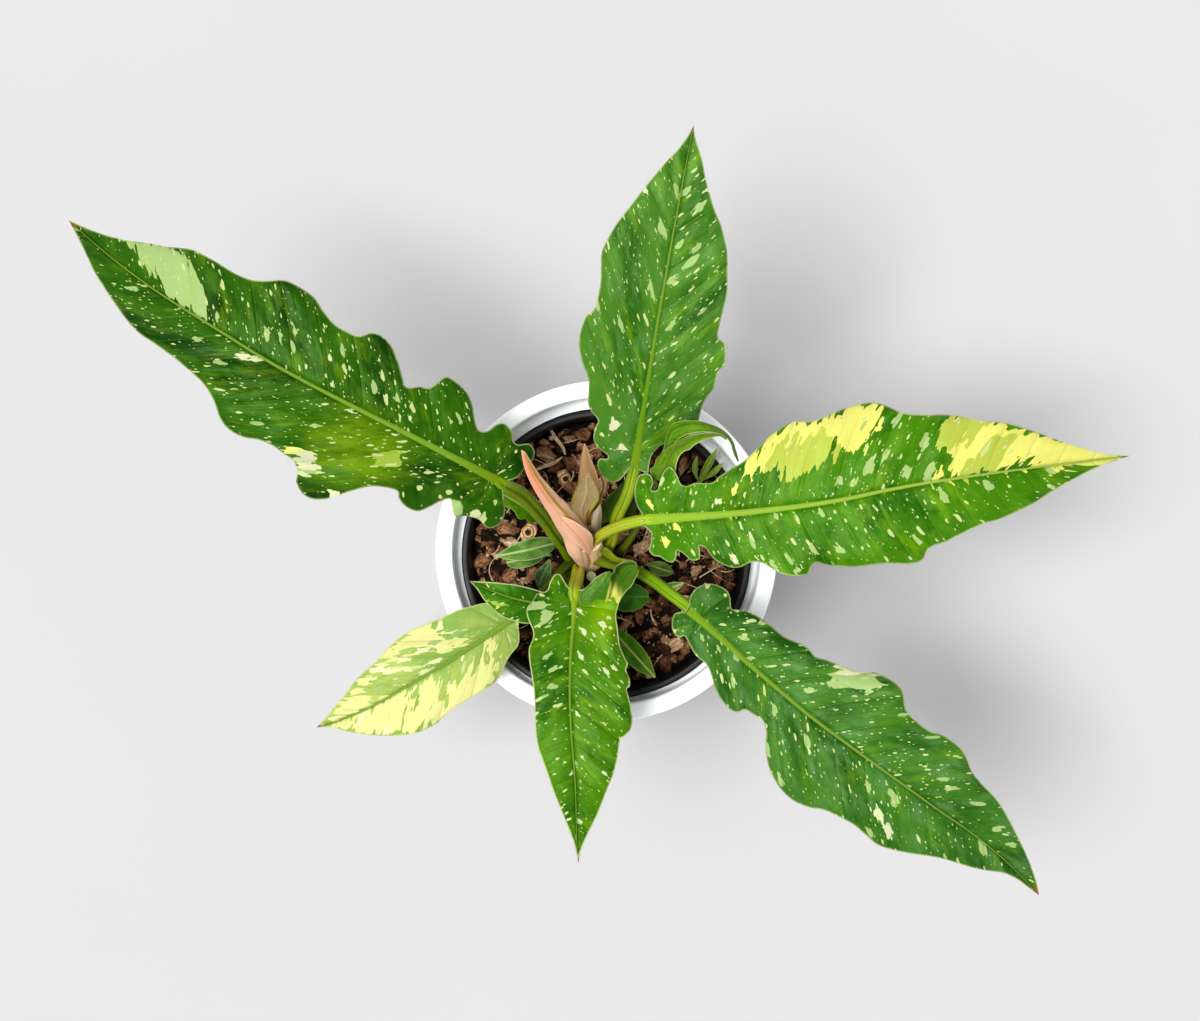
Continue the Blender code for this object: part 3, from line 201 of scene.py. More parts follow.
class Signal:
    """A number or vector that a shader node gives, with the operators that the finishes use."""

    def __init__(self, recipe: "Recipe", socket: bpy.types.NodeSocket) -> None:
        """Keep the recipe that the socket belongs to."""
        self.recipe = recipe
        self.socket = socket

    def __add__(self, other: Any) -> "Signal":
        """Add."""
        return self.recipe.number("ADD", self, other)

    __radd__ = __add__

    def __sub__(self, other: Any) -> "Signal":
        """Subtract."""
        return self.recipe.number("SUBTRACT", self, other)

    def __rsub__(self, other: Any) -> "Signal":
        """Subtract from a plain number."""
        return self.recipe.number("SUBTRACT", other, self)

    def __mul__(self, other: Any) -> "Signal":
        """Multiply."""
        return self.recipe.number("MULTIPLY", self, other)

    __rmul__ = __mul__

    def __abs__(self) -> "Signal":
        """Size without its sign."""
        return self.recipe.number("ABSOLUTE", self)

    def sine(self) -> "Signal":
        """Its sine, as an angle in radians."""
        return self.recipe.number("SINE", self)

    def least(self, other: Any) -> "Signal":
        """The smaller of the two."""
        return self.recipe.number("MINIMUM", self, other)

    def most(self, other: Any) -> "Signal":
        """The larger of the two."""
        return self.recipe.number("MAXIMUM", self, other)

    def step(self, low: float, high: float) -> "Signal":
        """Rise smoothly from 0 at low to 1 at high, or fall where low is the larger."""
        settings = {"interpolation_type": "SMOOTHSTEP"}
        return self.recipe.read("ShaderNodeMapRange", 0, settings, {0: self, 1: low, 2: high})

    def stretched(self, scales: float | Triple, offset: Triple = (0, 0, 0)) -> "Signal":
        """A vector with its axes scaled, by one number or by three, then moved."""
        scales = scales if isinstance(scales, tuple) else (scales, scales, scales)
        sockets = {0: self, 1: scales, 2: offset}
        return self.recipe.read("ShaderNodeVectorMath", 0, {"operation": "MULTIPLY_ADD"}, sockets)

    def noise(
        self, scales: float | Triple, detail: float, roughness: float = 0.5, offset: Triple = (0, 0, 0),
        warp: float = 0.0,
    ) -> "Signal":
        """Cloudy noise of 0 to 1 over a place.

        Args:
            scales: The waves for each unit of the place, along all its axes or along each.
            detail: How many finer layers it has.
            roughness: How strong the finer layers are.
            offset: Moves the noise to another part of itself.
            warp: How far the noise is twisted.

        Returns:
            The noise.
        """
        sockets = {
            "Vector": self.stretched(scales, offset), "Scale": 1.0, "Detail": detail,
            "Roughness": roughness, "Distortion": warp,
        }
        return self.recipe.read("ShaderNodeTexNoise", 0, None, sockets)


class Recipe:
    """The nodes of one material, built round its Principled shader."""

    def __init__(self, name: str) -> None:
        """Start a material."""
        self.material = bpy.data.materials.new(name)
        self.material.use_nodes = True
        self.tree = self.material.node_tree
        self.shader = self.tree.nodes["Principled BSDF"]

    def node(
        self, kind: str, settings: dict[str, Any] | None = None, sockets: dict[Any, Any] | None = None,
    ) -> bpy.types.Node:
        """Make a node.

        Args:
            kind: The node's type.
            settings: Its settings, with a ramp's stops under "stops".
            sockets: Values or signals for its inputs, by name or number.

        Returns:
            The node.
        """
        made = self.tree.nodes.new(kind)
        for name, value in (settings or {}).items():
            if name == "stops":
                ramp = made.color_ramp
                while len(ramp.elements) < len(value):
                    ramp.elements.new(0.5)
                for element, (place, colour) in zip(ramp.elements, value):
                    element.position = place
                    element.color = colour
            else:
                setattr(made, name, value)
        for name, value in (sockets or {}).items():
            if isinstance(value, Signal):
                self.tree.links.new(value.socket, made.inputs[name])
            else:
                made.inputs[name].default_value = value
        return made

    def read(
        self, kind: str, output: int | str, settings: dict[str, Any] | None = None,
        sockets: dict[Any, Any] | None = None,
    ) -> Signal:
        """Make a node, as node() does, and take the output of a name or number."""
        return Signal(self, self.node(kind, settings, sockets).outputs[output])

    def number(self, operation: str, *values: Any) -> Signal:
        """Work out a number from others."""
        return self.read("ShaderNodeMath", 0, {"operation": operation}, dict(enumerate(values)))

    def mix(self, share: Any, first: Any, second: Any) -> Signal:
        """Mix two colours, each a signal or a colour as seen."""
        sockets = {0: share, 6: seen(first), 7: seen(second)}
        return self.read("ShaderNodeMix", 2, {"data_type": "RGBA"}, sockets)

    def ramp(self, value: Signal, stops: Sequence[tuple[float, Triple]]) -> Signal:
        """Turn a number into a colour by a ramp's stops of (place, colour as seen)."""
        settings = {"stops": [(place, seen(colour)) for place, colour in stops]}
        return self.read("ShaderNodeValToRGB", "Color", settings, {"Fac": value})

    def field(self, name: str) -> Signal:
        """A number stored on the mesh."""
        return self.read("ShaderNodeAttribute", "Fac", {"attribute_name": name})

    def grain(self) -> Signal:
        """The place along and across a piece's own grain, in millimetres."""
        return self.read("ShaderNodeAttribute", "Vector", {"attribute_name": "grain"})

    def place(self) -> Signal:
        """The place in space, in millimetres."""
        return self.read("ShaderNodeTexCoord", "Object").stretched(1 / MM)

    def parts(self, vector: Signal) -> list[Signal]:
        """A vector's or a colour's three numbers."""
        made = self.node("ShaderNodeSeparateXYZ", None, {0: vector})
        return [Signal(self, socket) for socket in made.outputs]

    def cells(self, place: Signal, flat: bool = True) -> tuple[Signal, list[Signal]]:
        """Scattered cells, one for each unit of the place.

        Args:
            place: The place to read.
            flat: Whether only its first two axes count.

        Returns:
            The distance to the nearest cell's middle, and three random numbers of that cell.
        """
        settings = {"voronoi_dimensions": "2D" if flat else "3D"}
        made = self.node("ShaderNodeTexVoronoi", settings, {"Vector": place, "Scale": 1.0})
        return Signal(self, made.outputs["Distance"]), self.parts(Signal(self, made.outputs["Color"]))

    def relief(self, height: Signal, depth: float) -> None:
        """Raise the surface by a height of 0 to 1 times a depth in millimetres."""
        sockets = {"Height": height, "Distance": depth * MM, "Strength": 1.0}
        made = self.node("ShaderNodeBump", None, sockets)
        self.tree.links.new(made.outputs["Normal"], self.shader.inputs["Normal"])

    def finish(
        self, colour: Signal, roughness: Signal, level: float, tint: Triple = (1, 1, 1),
    ) -> bpy.types.Material:
        """Set the shader's sockets.

        Args:
            colour: The base colour.
            roughness: The roughness.
            level: The strength of the shine, the same all over.
            tint: The colour of the shine, the same all over.

        Returns:
            The material.
        """
        self.tree.links.new(colour.socket, self.shader.inputs["Base Color"])
        self.tree.links.new(roughness.socket, self.shader.inputs["Roughness"])
        self.shader.inputs["Specular IOR Level"].default_value = level
        self.shader.inputs["Specular Tint"].default_value = (*tint, 1.0)
        return self.material


@dataclass
class Run:
    """A section run along a smooth path.

    corners are the path's, and steps is how many rings each span between them has. section has rows
    of (sideways, upwards) in half widths and half heights, which are (share of the path, size) points.
    across is the level direction that the width keeps to, or None where it stays level. curl is how
    far the section's edges rise, as a share of the half width.
    """

    corners: Sequence[Triple]
    section: np.ndarray
    half_widths: Sequence[Pair]
    half_heights: Sequence[Pair]
    across: Triple | None
    steps: int
    curl: float = 0.0

    def rings(self) -> tuple[np.ndarray, np.ndarray]:
        """Make the rings.

        Returns:
            The rings of corners, and each corner's grain: the length along the path, the place across
            the section and the place up it.
        """
        path = smooth_path(self.corners, self.steps)
        lengths = lengths_along(path)
        share = lengths / lengths[-1]
        tangent = np.gradient(path, axis=0)
        tangent /= np.linalg.norm(tangent, axis=1)[:, None]
        level = np.cross(UP, tangent) if self.across is None else np.tile(self.across, (len(path), 1))
        side = level - (tangent * level).sum(axis=1)[:, None] * tangent
        side /= np.linalg.norm(side, axis=1)[:, None]
        upward = np.cross(tangent, side)
        width = value_at(self.half_widths, share)[:, None]
        height = value_at(self.half_heights, share)[:, None]
        sideways = self.section[:, 0] * width
        up = self.section[:, 1] * height + self.curl * width * self.section[:, 0] ** 2
        rings = path[:, None] + sideways[..., None] * side[:, None] + up[..., None] * upward[:, None]
        return rings, np.stack([np.broadcast_to(lengths[:, None], sideways.shape), sideways, up], axis=-1)


class Form:
    """A mesh in the making, with its corners in millimetres and values stored at each corner."""

    def __init__(self, name: str) -> None:
        """Start an empty mesh."""
        self.name = name
        self.corners: list[np.ndarray] = []
        self.faces: list[Sequence[int]] = []
        self.values: dict[str, list[np.ndarray]] = {}
        self.count = 0

    def add(self, corners: np.ndarray, faces: Sequence[Sequence[int]], **values: np.ndarray) -> None:
        """Add a body.

        Args:
            corners: Its corners, one row each.
            faces: Rows of corner numbers, counted within the body.
            values: Arrays with one row a corner, by name; every body has the same names.
        """
        self.corners.append(np.asarray(corners, float))
        self.faces += [[index + self.count for index in face] for face in faces]
        for name, rows in values.items():
            self.values.setdefault(name, []).append(np.asarray(rows, float))
        self.count += len(corners)

    def tube(self, rings: np.ndarray, **values: np.ndarray) -> None:
        """Add a body from rings of corners, closed at both ends.

        Args:
            rings: Corners by ring, place round the ring and axis.
            values: Arrays with one entry for each ring and place round it.
        """
        length, around, _ = rings.shape
        faces = []
        for ring in range(0, (length - 1) * around, around):
            for corner in range(around):
                after = (corner + 1) % around
                faces.append((ring + corner, ring + after, ring + around + after, ring + around + corner))
        faces.append(tuple(reversed(range(around))))
        faces.append(tuple(range((length - 1) * around, length * around)))
        flat = {name: rows.reshape(length * around, *rows.shape[2:]) for name, rows in values.items()}
        self.add(rings.reshape(-1, 3), faces, **flat)

    def grown(self, run: Run) -> None:
        """Add a section run along a path, with the values that the plant's finishes read."""
        rings, grain = run.rings()
        shape, (sideways, up) = rings.shape[:2], run.section.T
        reach = np.abs(grain[..., 1])
        self.tube(
            rings, grain=grain, share=grain[..., 0] / grain[-1, 0, 0],
            sideways=np.broadcast_to(sideways, shape), upper=np.broadcast_to(up > -0.05, shape),
            edge=reach.max(axis=1, keepdims=True) - reach, rib=reach,
        )

    def strand(self, run: Run, tint: float) -> None:
        """Add a section run along a path, with its place on the ramp of browns."""
        rings, grain = run.rings()
        self.tube(rings, grain=grain, tint=np.full(rings.shape[:2], tint))

    def build(
        self, material: bpy.types.Material, slot: str, nodes: Sequence[str] = (), sharp: float = 50.0,
    ) -> None:
        """Make the piece, riding on the plant's one body.

        Args:
            material: Its finish.
            slot: The material slot that it would take its finish from; not used.
            nodes: The solids that it stands for.
            sharp: The angle in degrees past which an edge stays sharp.
        """
        mesh = bpy.data.meshes.new(self.name)
        mesh.from_pydata((np.vstack(self.corners) * MM).tolist(), [], self.faces)
        for name, blocks in self.values.items():
            rows = np.concatenate(blocks)
            kind, key = ("FLOAT_VECTOR", "vector") if rows.ndim == 2 else ("FLOAT", "value")
            attribute = mesh.attributes.new(name, kind, "POINT")
            attribute.data.foreach_set(key, rows.astype(np.float32).ravel())
        mesh.validate()
        mesh.shade_smooth()
        mesh.set_sharp_from_angle(angle=math.radians(sharp))
        mesh.materials.append(material)
        piece = bpy.data.objects.new(self.name, mesh)
        bpy.context.scene.collection.objects.link(piece)
        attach(piece, BODY)
        if nodes:
            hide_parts(*nodes)
        log.info("%s: %d faces", self.name, len(mesh.polygons))


# Finishes

@dataclass(frozen=True)
class LeafFinish:
    """A variegated blade: green tissue, pale patches that follow the veins, a pale rib and margin.

    The colours are the darkest green, the common green, a blue-green painted reflection that stands for
    the sky mirrored in the blade, and a yellow-green that is painted glow of light through thin tissue and
    also the pale line along each side vein. flecks is the share of the scattered pale flecks,
    tear how far the pale zones are torn, in millimetres, rib_foot the rib's colour where the stalk
    joins it, and tip the dry end of the blade.
    """

    name: str
    deep: Triple
    middle: Triple
    painted_sheen: Triple
    glow_and_vein_green: Triple
    rib_foot: Triple = (136, 176, 30)
    rib: Triple = (130, 172, 40)
    rib_end: Triple = (136, 176, 60)
    tip: Triple = (170, 120, 44)
    flecks: float = 1.0
    tear: float = 5.0
    seed: float = 0.0
    margin: Triple = (214, 224, 150)
    margin_share: float = 0.55
    lime: Triple = (176, 206, 70)
    sage: Triple = (184, 214, 136)
    yellow: Triple = (264, 258, 130)
    cream: Triple = (248, 250, 204)
    speck: Triple = (226, 238, 160)
    underside: Triple = (118, 150, 84)
    roughness: float = 0.4

    def scattered(
        self, grain: Signal, wide: float, long: float, share: float, size: float,
    ) -> Signal:
        """Flecks scattered over the blade, longer along the veins.

        Args:
            grain: The place across and along the veins.
            wide: The field of one fleck across the veins, in millimetres.
            long: The same along the veins.
            share: The share of the fields that hold a fleck.
            size: A fleck's largest radius, as a share of its field.

        Returns:
            The mask of the flecks.
        """
        frayed = grain.noise((3 / wide, 3 / long, 1), 1.5, 0.5, (0, 0, wide))
        crowd = grain.noise((1 / 28, 1 / 30, 0), 1.0, 0.5, (wide, self.seed, 0))
        field_place = grain.stretched((1 / wide, 1 / long, 0), (self.seed, wide, 0))
        distance, chance = grain.recipe.cells(field_place)
        radius = chance[0].step(1 - share, 1.0) * (crowd.step(0.3, 0.6) * 0.5 + 0.5) * size
        return (radius * (frayed * 3 - 0.5) - distance).step(0.0, 0.02) * (radius * 60).least(1)

    def make(self) -> bpy.types.Material:
        """Make the material."""
        recipe = Recipe("leaf_" + self.name)
        grain = recipe.grain()
        phase = recipe.parts(grain)[2]
        on_rib = recipe.field("rib").step(1.12, 0.9)
        broad = grain.noise((1 / 24, 1 / 34, 0), 4.0, 0.6, (self.seed, 3, 0))
        narrow = grain.noise((1 / 9, 1 / 15, 0), 4.0, 0.65, (5, self.seed, 0))
        patchy = grain.noise((1 / 8, 1 / 24, 0), 4.0, 0.68, (7, self.seed, 0))
        fibres = grain.noise((1 / 1.1, 1 / 3, 0), 4.0, 0.65)
        torn = grain.noise((1 / 3.8, 1 / 19, 0), 2.0, 0.6, (self.seed, 9, 0))
        lumps = grain.noise((1 / 2.2, 1 / 4.4, 0), 2.0, 0.5, (self.seed, 4, 0))
        vein, side_vein = abs((phase * math.pi).sine()), abs((phase * (3 * math.pi)).sine())

        colour = recipe.mix(broad.step(0.36, 0.58), self.deep, self.middle)
        # Painted reflection: blue-green streaks that stand for the sky mirrored in the blade.
        colour = recipe.mix(narrow.step(0.46, 0.7) * 0.55, colour, self.painted_sheen)
        # Painted shade: the blade darker along its sunken side veins.
        colour = recipe.mix(vein.step(0.35, 0.0) * 0.16, colour, self.deep)
        # Painted glow of light through thin tissue, in its zones and in random patches.
        painted_glow_share = (recipe.field("glow") + (narrow - 0.5) * 20).step(-14, 10)
        bright = painted_glow_share * (patchy.step(0.3, 0.6) * 0.75 + 0.15)
        bright = bright.most(patchy.step(0.5, 0.72) * 0.5)
        colour = recipe.mix(bright, colour, self.glow_and_vein_green)
        colour = recipe.mix(vein.step(0.05, 0.01) * 0.3, colour, self.glow_and_vein_green)
        tears = (torn - 0.5) * (self.tear * 3) + (lumps - 0.5) * self.tear
        ragged = (lumps - 0.5) * 4.4 + (fibres - 0.5) * 0.8
        for tint in (Tint.YELLOW, Tint.LIME, Tint.SAGE, Tint.CREAM):
            toned = recipe.mix(narrow.step(0.3, 0.75) * 0.3, getattr(self, tint.value), self.lime)
            zones = (recipe.field(tint.value) + tears).step(-0.2, 0.2)
            patches = (recipe.field(tint.value + FLECKS) + ragged).step(-0.12, 0.12)
            colour = recipe.mix(zones.most(patches), colour, toned)
        for wide, long, share, size, paint in (
            (12, 32, 0.34, 0.15, self.sage), (6, 16, 0.46, 0.17, self.speck),
            (3, 7.5, 0.5, 0.19, self.speck), (1.8, 3, 0.36, 0.2, self.speck),
        ):
            flecks = self.scattered(grain, wide, long, share * self.flecks, size)
            colour = recipe.mix(flecks * 0.92, colour, paint)
        pale_edge = recipe.field("edge").step(0.8, 0.35) * (narrow.step(0.35, 0.5) * 0.5 + 0.5)
        colour = recipe.mix(pale_edge * self.margin_share, colour, self.margin)
        share = recipe.field("share")
        stops = ((0.02, self.rib_foot), (0.14, self.rib), (0.6, self.rib_end))
        colour = recipe.mix(on_rib * 0.92, colour, recipe.ramp(share + (fibres - 0.5) * 0.3, stops))
        colour = recipe.mix(share.step(0.972, 0.992), colour, self.tip)
        colour = recipe.mix(recipe.field("under") * 0.75, colour, self.underside)

        lines = vein.step(0.0, 0.3) * 0.4 + side_vein.step(0.0, 0.5) * 0.15 + lumps * 0.5
        recipe.relief(fibres * 0.25 + (1 - on_rib) * lines, 0.45)
        return recipe.finish(colour, fibres * 0.16 + (self.roughness - 0.08), 0.14, (0.55, 1.0, 0.3))


@dataclass(frozen=True)
class SmallLeafFinish:
    """A small leaf: two greens, a pale rib and a pale margin, with pale stripes on some."""

    name: str
    deep: Triple
    light: Triple
    rib: Triple
    margin: Triple = (190, 205, 140)
    margin_share: float = 0.8
    stripes: float = 0.0

    def make(self) -> bpy.types.Material:
        """Make the material."""
        recipe = Recipe("small_leaf_" + self.name)
        grain = recipe.grain()
        off_rib = recipe.field("rib")
        broad = grain.noise((1 / 9, 1 / 5, 0.3), 3.0, 0.6)
        veins = abs(((off_rib * 0.8 + recipe.parts(grain)[0]) * 1.5).sine())
        fibres = grain.noise((1 / 2.2, 2, 1), 3.0, 0.6)
        colour = recipe.mix(broad.step(0.35, 0.65), self.deep, self.light)
        # Painted shade: the leaf darker along its sunken veins.
        colour = recipe.mix(veins.step(0.25, 0.0) * 0.16, colour, self.deep)
        colour = recipe.mix(fibres.step(0.5, 0.62) * self.stripes, colour, self.margin)
        colour = recipe.mix(off_rib.step(0.75, 0.25), colour, self.rib)
        colour = recipe.mix(recipe.field("edge").step(0.7, 0.2) * self.margin_share, colour, self.margin)
        recipe.relief(veins.step(0.0, 0.4) * 0.3 + fibres * 0.4, 0.3)
        return recipe.finish(colour, fibres * 0.2 + 0.38, 0.2, (0.7, 1.0, 0.4))


@dataclass(frozen=True)
class StalkFinish:
    """A leaf stalk, coloured from its foot to its blade, with a pale groove along its upper side."""

    name: str
    foot: Triple
    middle: Triple
    end: Triple
    groove: Triple
    flank: Triple
    groove_share: float = 0.6

    def make(self) -> bpy.types.Material:
        """Make the material."""
        recipe = Recipe("stalk_" + self.name)
        grain = recipe.grain()
        sideways = recipe.field("sideways")
        fibres = grain.noise((1 / 26, 1.6, 1.2), 4.0, 0.6)
        blotches = grain.noise((1 / 9, 0.3, 0.3), 3.0)
        stops = ((0.0, self.foot), (0.4, self.middle), (1.0, self.end))
        colour = recipe.ramp(recipe.field("share") + (blotches - 0.5) * 0.25, stops)
        colour = recipe.mix(abs(sideways).step(0.35, 1.0) * 0.7, colour, self.flank)
        groove = abs(sideways + (blotches - 0.5) * 0.1).step(0.2, 0.04) * recipe.field("upper")
        colour = recipe.mix(groove * self.groove_share, colour, self.groove)
        colour = recipe.mix(fibres.step(0.45, 0.75) * 0.35, colour, self.groove)
        recipe.relief(fibres, 0.35)
        return recipe.finish(colour, fibres * 0.2 + 0.3, 0.3, (0.8, 1.0, 0.3))


@dataclass(frozen=True)
class SheathFinish:
    """A leaf sheath, bud or lobe: a face, a stretch of another colour at its foot, a keel, a pale edge.

    Places and widths across it run from 0 in the middle to 1 at the edge. flush colours the face
    towards its tip, and mottle the face's net of small darker spots.
    """

    name: str
    face: Triple
    foot: Triple
    keel: Triple
    edge: Triple
    keel_place: float = 0.0
    keel_width: float = 0.12
    keel_share: float = 0.8
    edge_share: float = 0.7
    edge_start: float = 0.72
    foot_end: float = 0.3
    streaks: float = 0.4
    flush: Triple | None = None
    mottle: Triple | None = None

    def make(self) -> bpy.types.Material:
        """Make the material."""
        recipe = Recipe("sheath_" + self.name)
        grain = recipe.grain()
        share, sideways = recipe.field("share"), recipe.field("sideways")
        fibres = grain.noise((1 / 26, 1.5, 1), 4.0, 0.6)
        blotches = grain.noise((1 / 12, 0.25, 0.2), 3.0, 0.6)
        spots = grain.noise((0.5, 0.7, 0), 4.0, 0.65).step(0.42, 0.62)
        colour = recipe.mix(spots * 0.7, self.face, self.mottle or self.face)
        at_foot = (share + (blotches - 0.5) * 0.2).step(self.foot_end, self.foot_end - 0.26)
        colour = recipe.mix(at_foot, colour, self.foot)
        if self.flush:
            flushed = (share + (blotches - 0.5) * 0.5).step(0.35, 0.85)
            colour = recipe.mix(flushed * 0.85, colour, self.flush)
        colour = recipe.mix(fibres.step(0.45, 0.72) * self.streaks, colour, self.edge)
        colour = recipe.mix(fibres.step(0.48, 0.3) * (self.streaks * 0.4), colour, self.keel)
        keel = abs(sideways - self.keel_place + (blotches - 0.5) * 0.1).step(self.keel_width, 0.02)
        colour = recipe.mix(keel * recipe.field("upper") * self.keel_share, colour, self.keel)
        colour = recipe.mix(abs(sideways).step(self.edge_start, 0.98) * self.edge_share, colour, self.edge)
        recipe.relief(fibres, 0.35)
        return recipe.finish(colour, fibres * 0.2 + 0.36, 0.2, (1.0, 0.85, 0.4))


@dataclass(frozen=True)
class BarkFinish:
    """Bark: one ramp of browns that each chip reads at its own place, with layers and pale scars."""

    name: str
    stops: tuple[tuple[float, Triple], ...] = (
        (0.0, (6, 2, 0)), (0.2, (36, 18, 8)), (0.42, (108, 66, 40)), (0.62, (172, 116, 76)),
        (0.82, (226, 176, 126)), (1.0, (266, 236, 196)),
    )
    depth: float = 1.3
    variation: float = 1.0

    def make(self) -> bpy.types.Material:
        """Make the material."""
        recipe = Recipe("bark_" + self.name)
        grain = recipe.grain()
        layers = grain.noise((1 / 4.5, 1 / 1.2, 1 / 0.6), 5.0, 0.7, warp=0.8)
        pits = grain.noise(0.8, 5.0, 0.7)
        varied = ((layers - 0.5) * 1.5 + (pits - 0.5) * 0.8) * self.variation
        colour = recipe.ramp(recipe.field("tint") + varied, self.stops)
        recipe.relief(layers * 0.7 + pits * 0.3, self.depth)
        return recipe.finish(colour, pits * 0.3 + 0.58, 0.2, (1.0, 0.8, 0.6))


@dataclass(frozen=True)
class RingedBarkFinish:
    """A chip cut across the grain: pale rings round a dark heart."""

    pale: Triple = (320, 262, 196)
    brown: Triple = (214, 150, 96)
    heart: Triple = (64, 36, 20)

    def make(self) -> bpy.types.Material:
        """Make the material."""
        recipe = Recipe("bark_rings")
        grain = recipe.grain()
        along, across, _ = recipe.parts(grain)
        radius = recipe.number("SQRT", along * along + across * across)
        rough = grain.noise(0.5, 4.0, 0.65)
        rings = (radius * 3.4 + rough * 6).sine()
        colour = recipe.mix(rings.step(-0.5, 0.7) * 0.8, self.pale, self.brown)
        colour = recipe.mix((radius + (rough - 0.5) * 2).step(2.0, 1.0), colour, self.heart)
        recipe.relief(rings * 0.3 + rough, 0.9)
        return recipe.finish(colour, rough * 0.3 + 0.6, 0.2)


@dataclass(frozen=True)
class GlazeFinish:
    """White glaze over pottery: faint cloudiness, a slight orange-peel skin and small pits."""

    body: Triple = (338, 342, 343)
    cloud: Triple = (332, 337, 339)
    pit: Triple = (240, 236, 228)

    def make(self) -> bpy.types.Material:
        """Make the material."""
        recipe = Recipe("pot_glaze")
        place = recipe.place()
        clouds, skin = place.noise(0.02, 3.0), place.noise(0.16, 2.0)
        distance, chance = recipe.cells(place.stretched(0.12), flat=False)
        pits = (chance[0].step(0.93, 1.0) * 0.07 - distance).step(0.0, 0.03)
        colour = recipe.mix(clouds.step(0.35, 0.7), self.body, self.cloud)
        colour = recipe.mix(pits * 0.35, colour, self.pit)
        recipe.relief(skin - pits * 0.4, 0.12)
        return recipe.finish(colour, clouds * 0.1 + 0.2, 0.4)


@dataclass(frozen=True)
class LinerFinish:
    """Black moulded plastic: a fine matt skin with dust and scuffs."""

    body: Triple = (12, 12, 13)
    dust: Triple = (48, 46, 44)

    def make(self) -> bpy.types.Material:
        """Make the material."""
        recipe = Recipe("liner_plastic")
        place = recipe.place()
        skin, dust = place.noise(1.8, 2.0), place.noise(0.09, 5.0, 0.65)
        scuffs = place.noise((0.5, 0.5, 2.6), 3.0, 0.6)
        colour = recipe.mix(dust.step(0.52, 0.78) * 0.4, self.body, self.dust)
        colour = recipe.mix(scuffs.step(0.6, 0.8) * 0.35, colour, self.dust)
        recipe.relief(skin * 0.6 + scuffs * 0.4, 0.12)
        return recipe.finish(colour, dust * 0.25 + 0.36, 0.25)


@dataclass(frozen=True)
class FloorFinish:
    """The pale floor that the pot stands on."""

    body: Triple = (234, 234, 234)
    cloud: Triple = (232, 232, 232)

    def make(self) -> bpy.types.Material:
        """Make the material."""
        recipe = Recipe("floor")
        clouds = recipe.place().noise(0.004, 3.0)
        colour = recipe.mix(clouds.step(0.3, 0.7), self.body, self.cloud)
        return recipe.finish(colour, clouds * 0.1 + 0.85, 0.1)


# Pots

AXIS_RADIUS = 0.01


@dataclass
class Turned:
    """A body spun round an upright axis.

    wobble is how far its surface strays from round, in millimetres, waves how many swells that has
    round it, and drift the height over which they change.
    """

    centre: Pair = (0, 0)
    sides: int = 160
    wobble: float = 0.25
    waves: float = 2
    drift: float = 30

    def spin(self, form: Form, profile: Sequence[Pair]) -> None:
        """Spin a (radius, height) profile that runs from the axis and back to it.

        Args:
            form: The form to add the body to.
            profile: The profile's points.
        """
        rings = []
        for radius, height in profile:
            reach = np.full(self.sides, max(radius, AXIS_RADIUS))
            if radius > 1:
                reach = reach + self.wobble * rough_ring(self.sides, self.waves, height / self.drift)
            rings.append(level_ring(self.centre, reach, height, self.sides))
        form.tube(np.array(rings))


@dataclass
class OuterPot(Turned):
    """The glazed pot: a flat base, a straight flaring wall and a thick rounded rim."""

    height: float = 160
    top_radius: float = 91.5
    foot_radius: float = 70
    wall: float = 6
    wall_steps: int = 12
    floor: float = 8
    flat_radius: float = 30
    foot_round: float = 5
    rim_width: float = 9
    rim_depth: float = 10
    rim_slope: float = 4
    outer_round: float = 1.7
    inner_round: float = 1.4
    ledge_height: float = 146
    ledge_radius: float = 77

    def profile(self) -> list[Pair]:
        """The wall's section, from the middle of the base round to the middle of the inner floor."""
        slope = (self.top_radius - self.foot_radius) / self.height
        under_rim = self.height - self.rim_depth
        inside = self.top_radius - self.rim_width
        inside_top = self.top_radius - slope * (self.rim_depth + self.rim_slope) - self.wall
        inside_foot = self.foot_radius + slope * self.floor - self.wall
        round_foot = (self.foot_radius - self.foot_round, self.foot_round)
        outer_edge = (self.top_radius - self.outer_round, self.height - self.outer_round)
        inner_edge = (inside + self.inner_round, self.height - self.inner_round)
        points = [(0, 0), (self.flat_radius, 0), (round_foot[0] - 2, 0)]
        points += arc(round_foot, self.foot_round, -90, 0, 8)
        start, end = points[-1], (self.top_radius, outer_edge[1])
        shares = [step / self.wall_steps for step in range(1, self.wall_steps)]
        points += [tuple(a + (b - a) * share for a, b in zip(start, end)) for share in shares]
        points += arc(outer_edge, self.outer_round, 0, 90, 8)
        points += arc(inner_edge, self.inner_round, 90, 180, 8)
        points += [(inside, under_rim), (inside - 0.4, self.ledge_height + 1)]
        points += [(inside - 1.4, self.ledge_height), (self.ledge_radius, self.ledge_height)]
        points += [(self.ledge_radius, self.ledge_height - self.rim_slope)]
        points += [(inside_top - 4, under_rim - 5 * self.rim_slope), (inside_foot, self.floor + self.wall)]
        return points + [(inside_foot - self.wall, self.floor), (0, self.floor)]

    def build(self) -> None:
        """Make the pot."""
        form = Form("glazed_pot")
        self.spin(form, self.profile())
        form.build(GlazeFinish().make(), "pot_glaze", ["outer_pot"], 60)


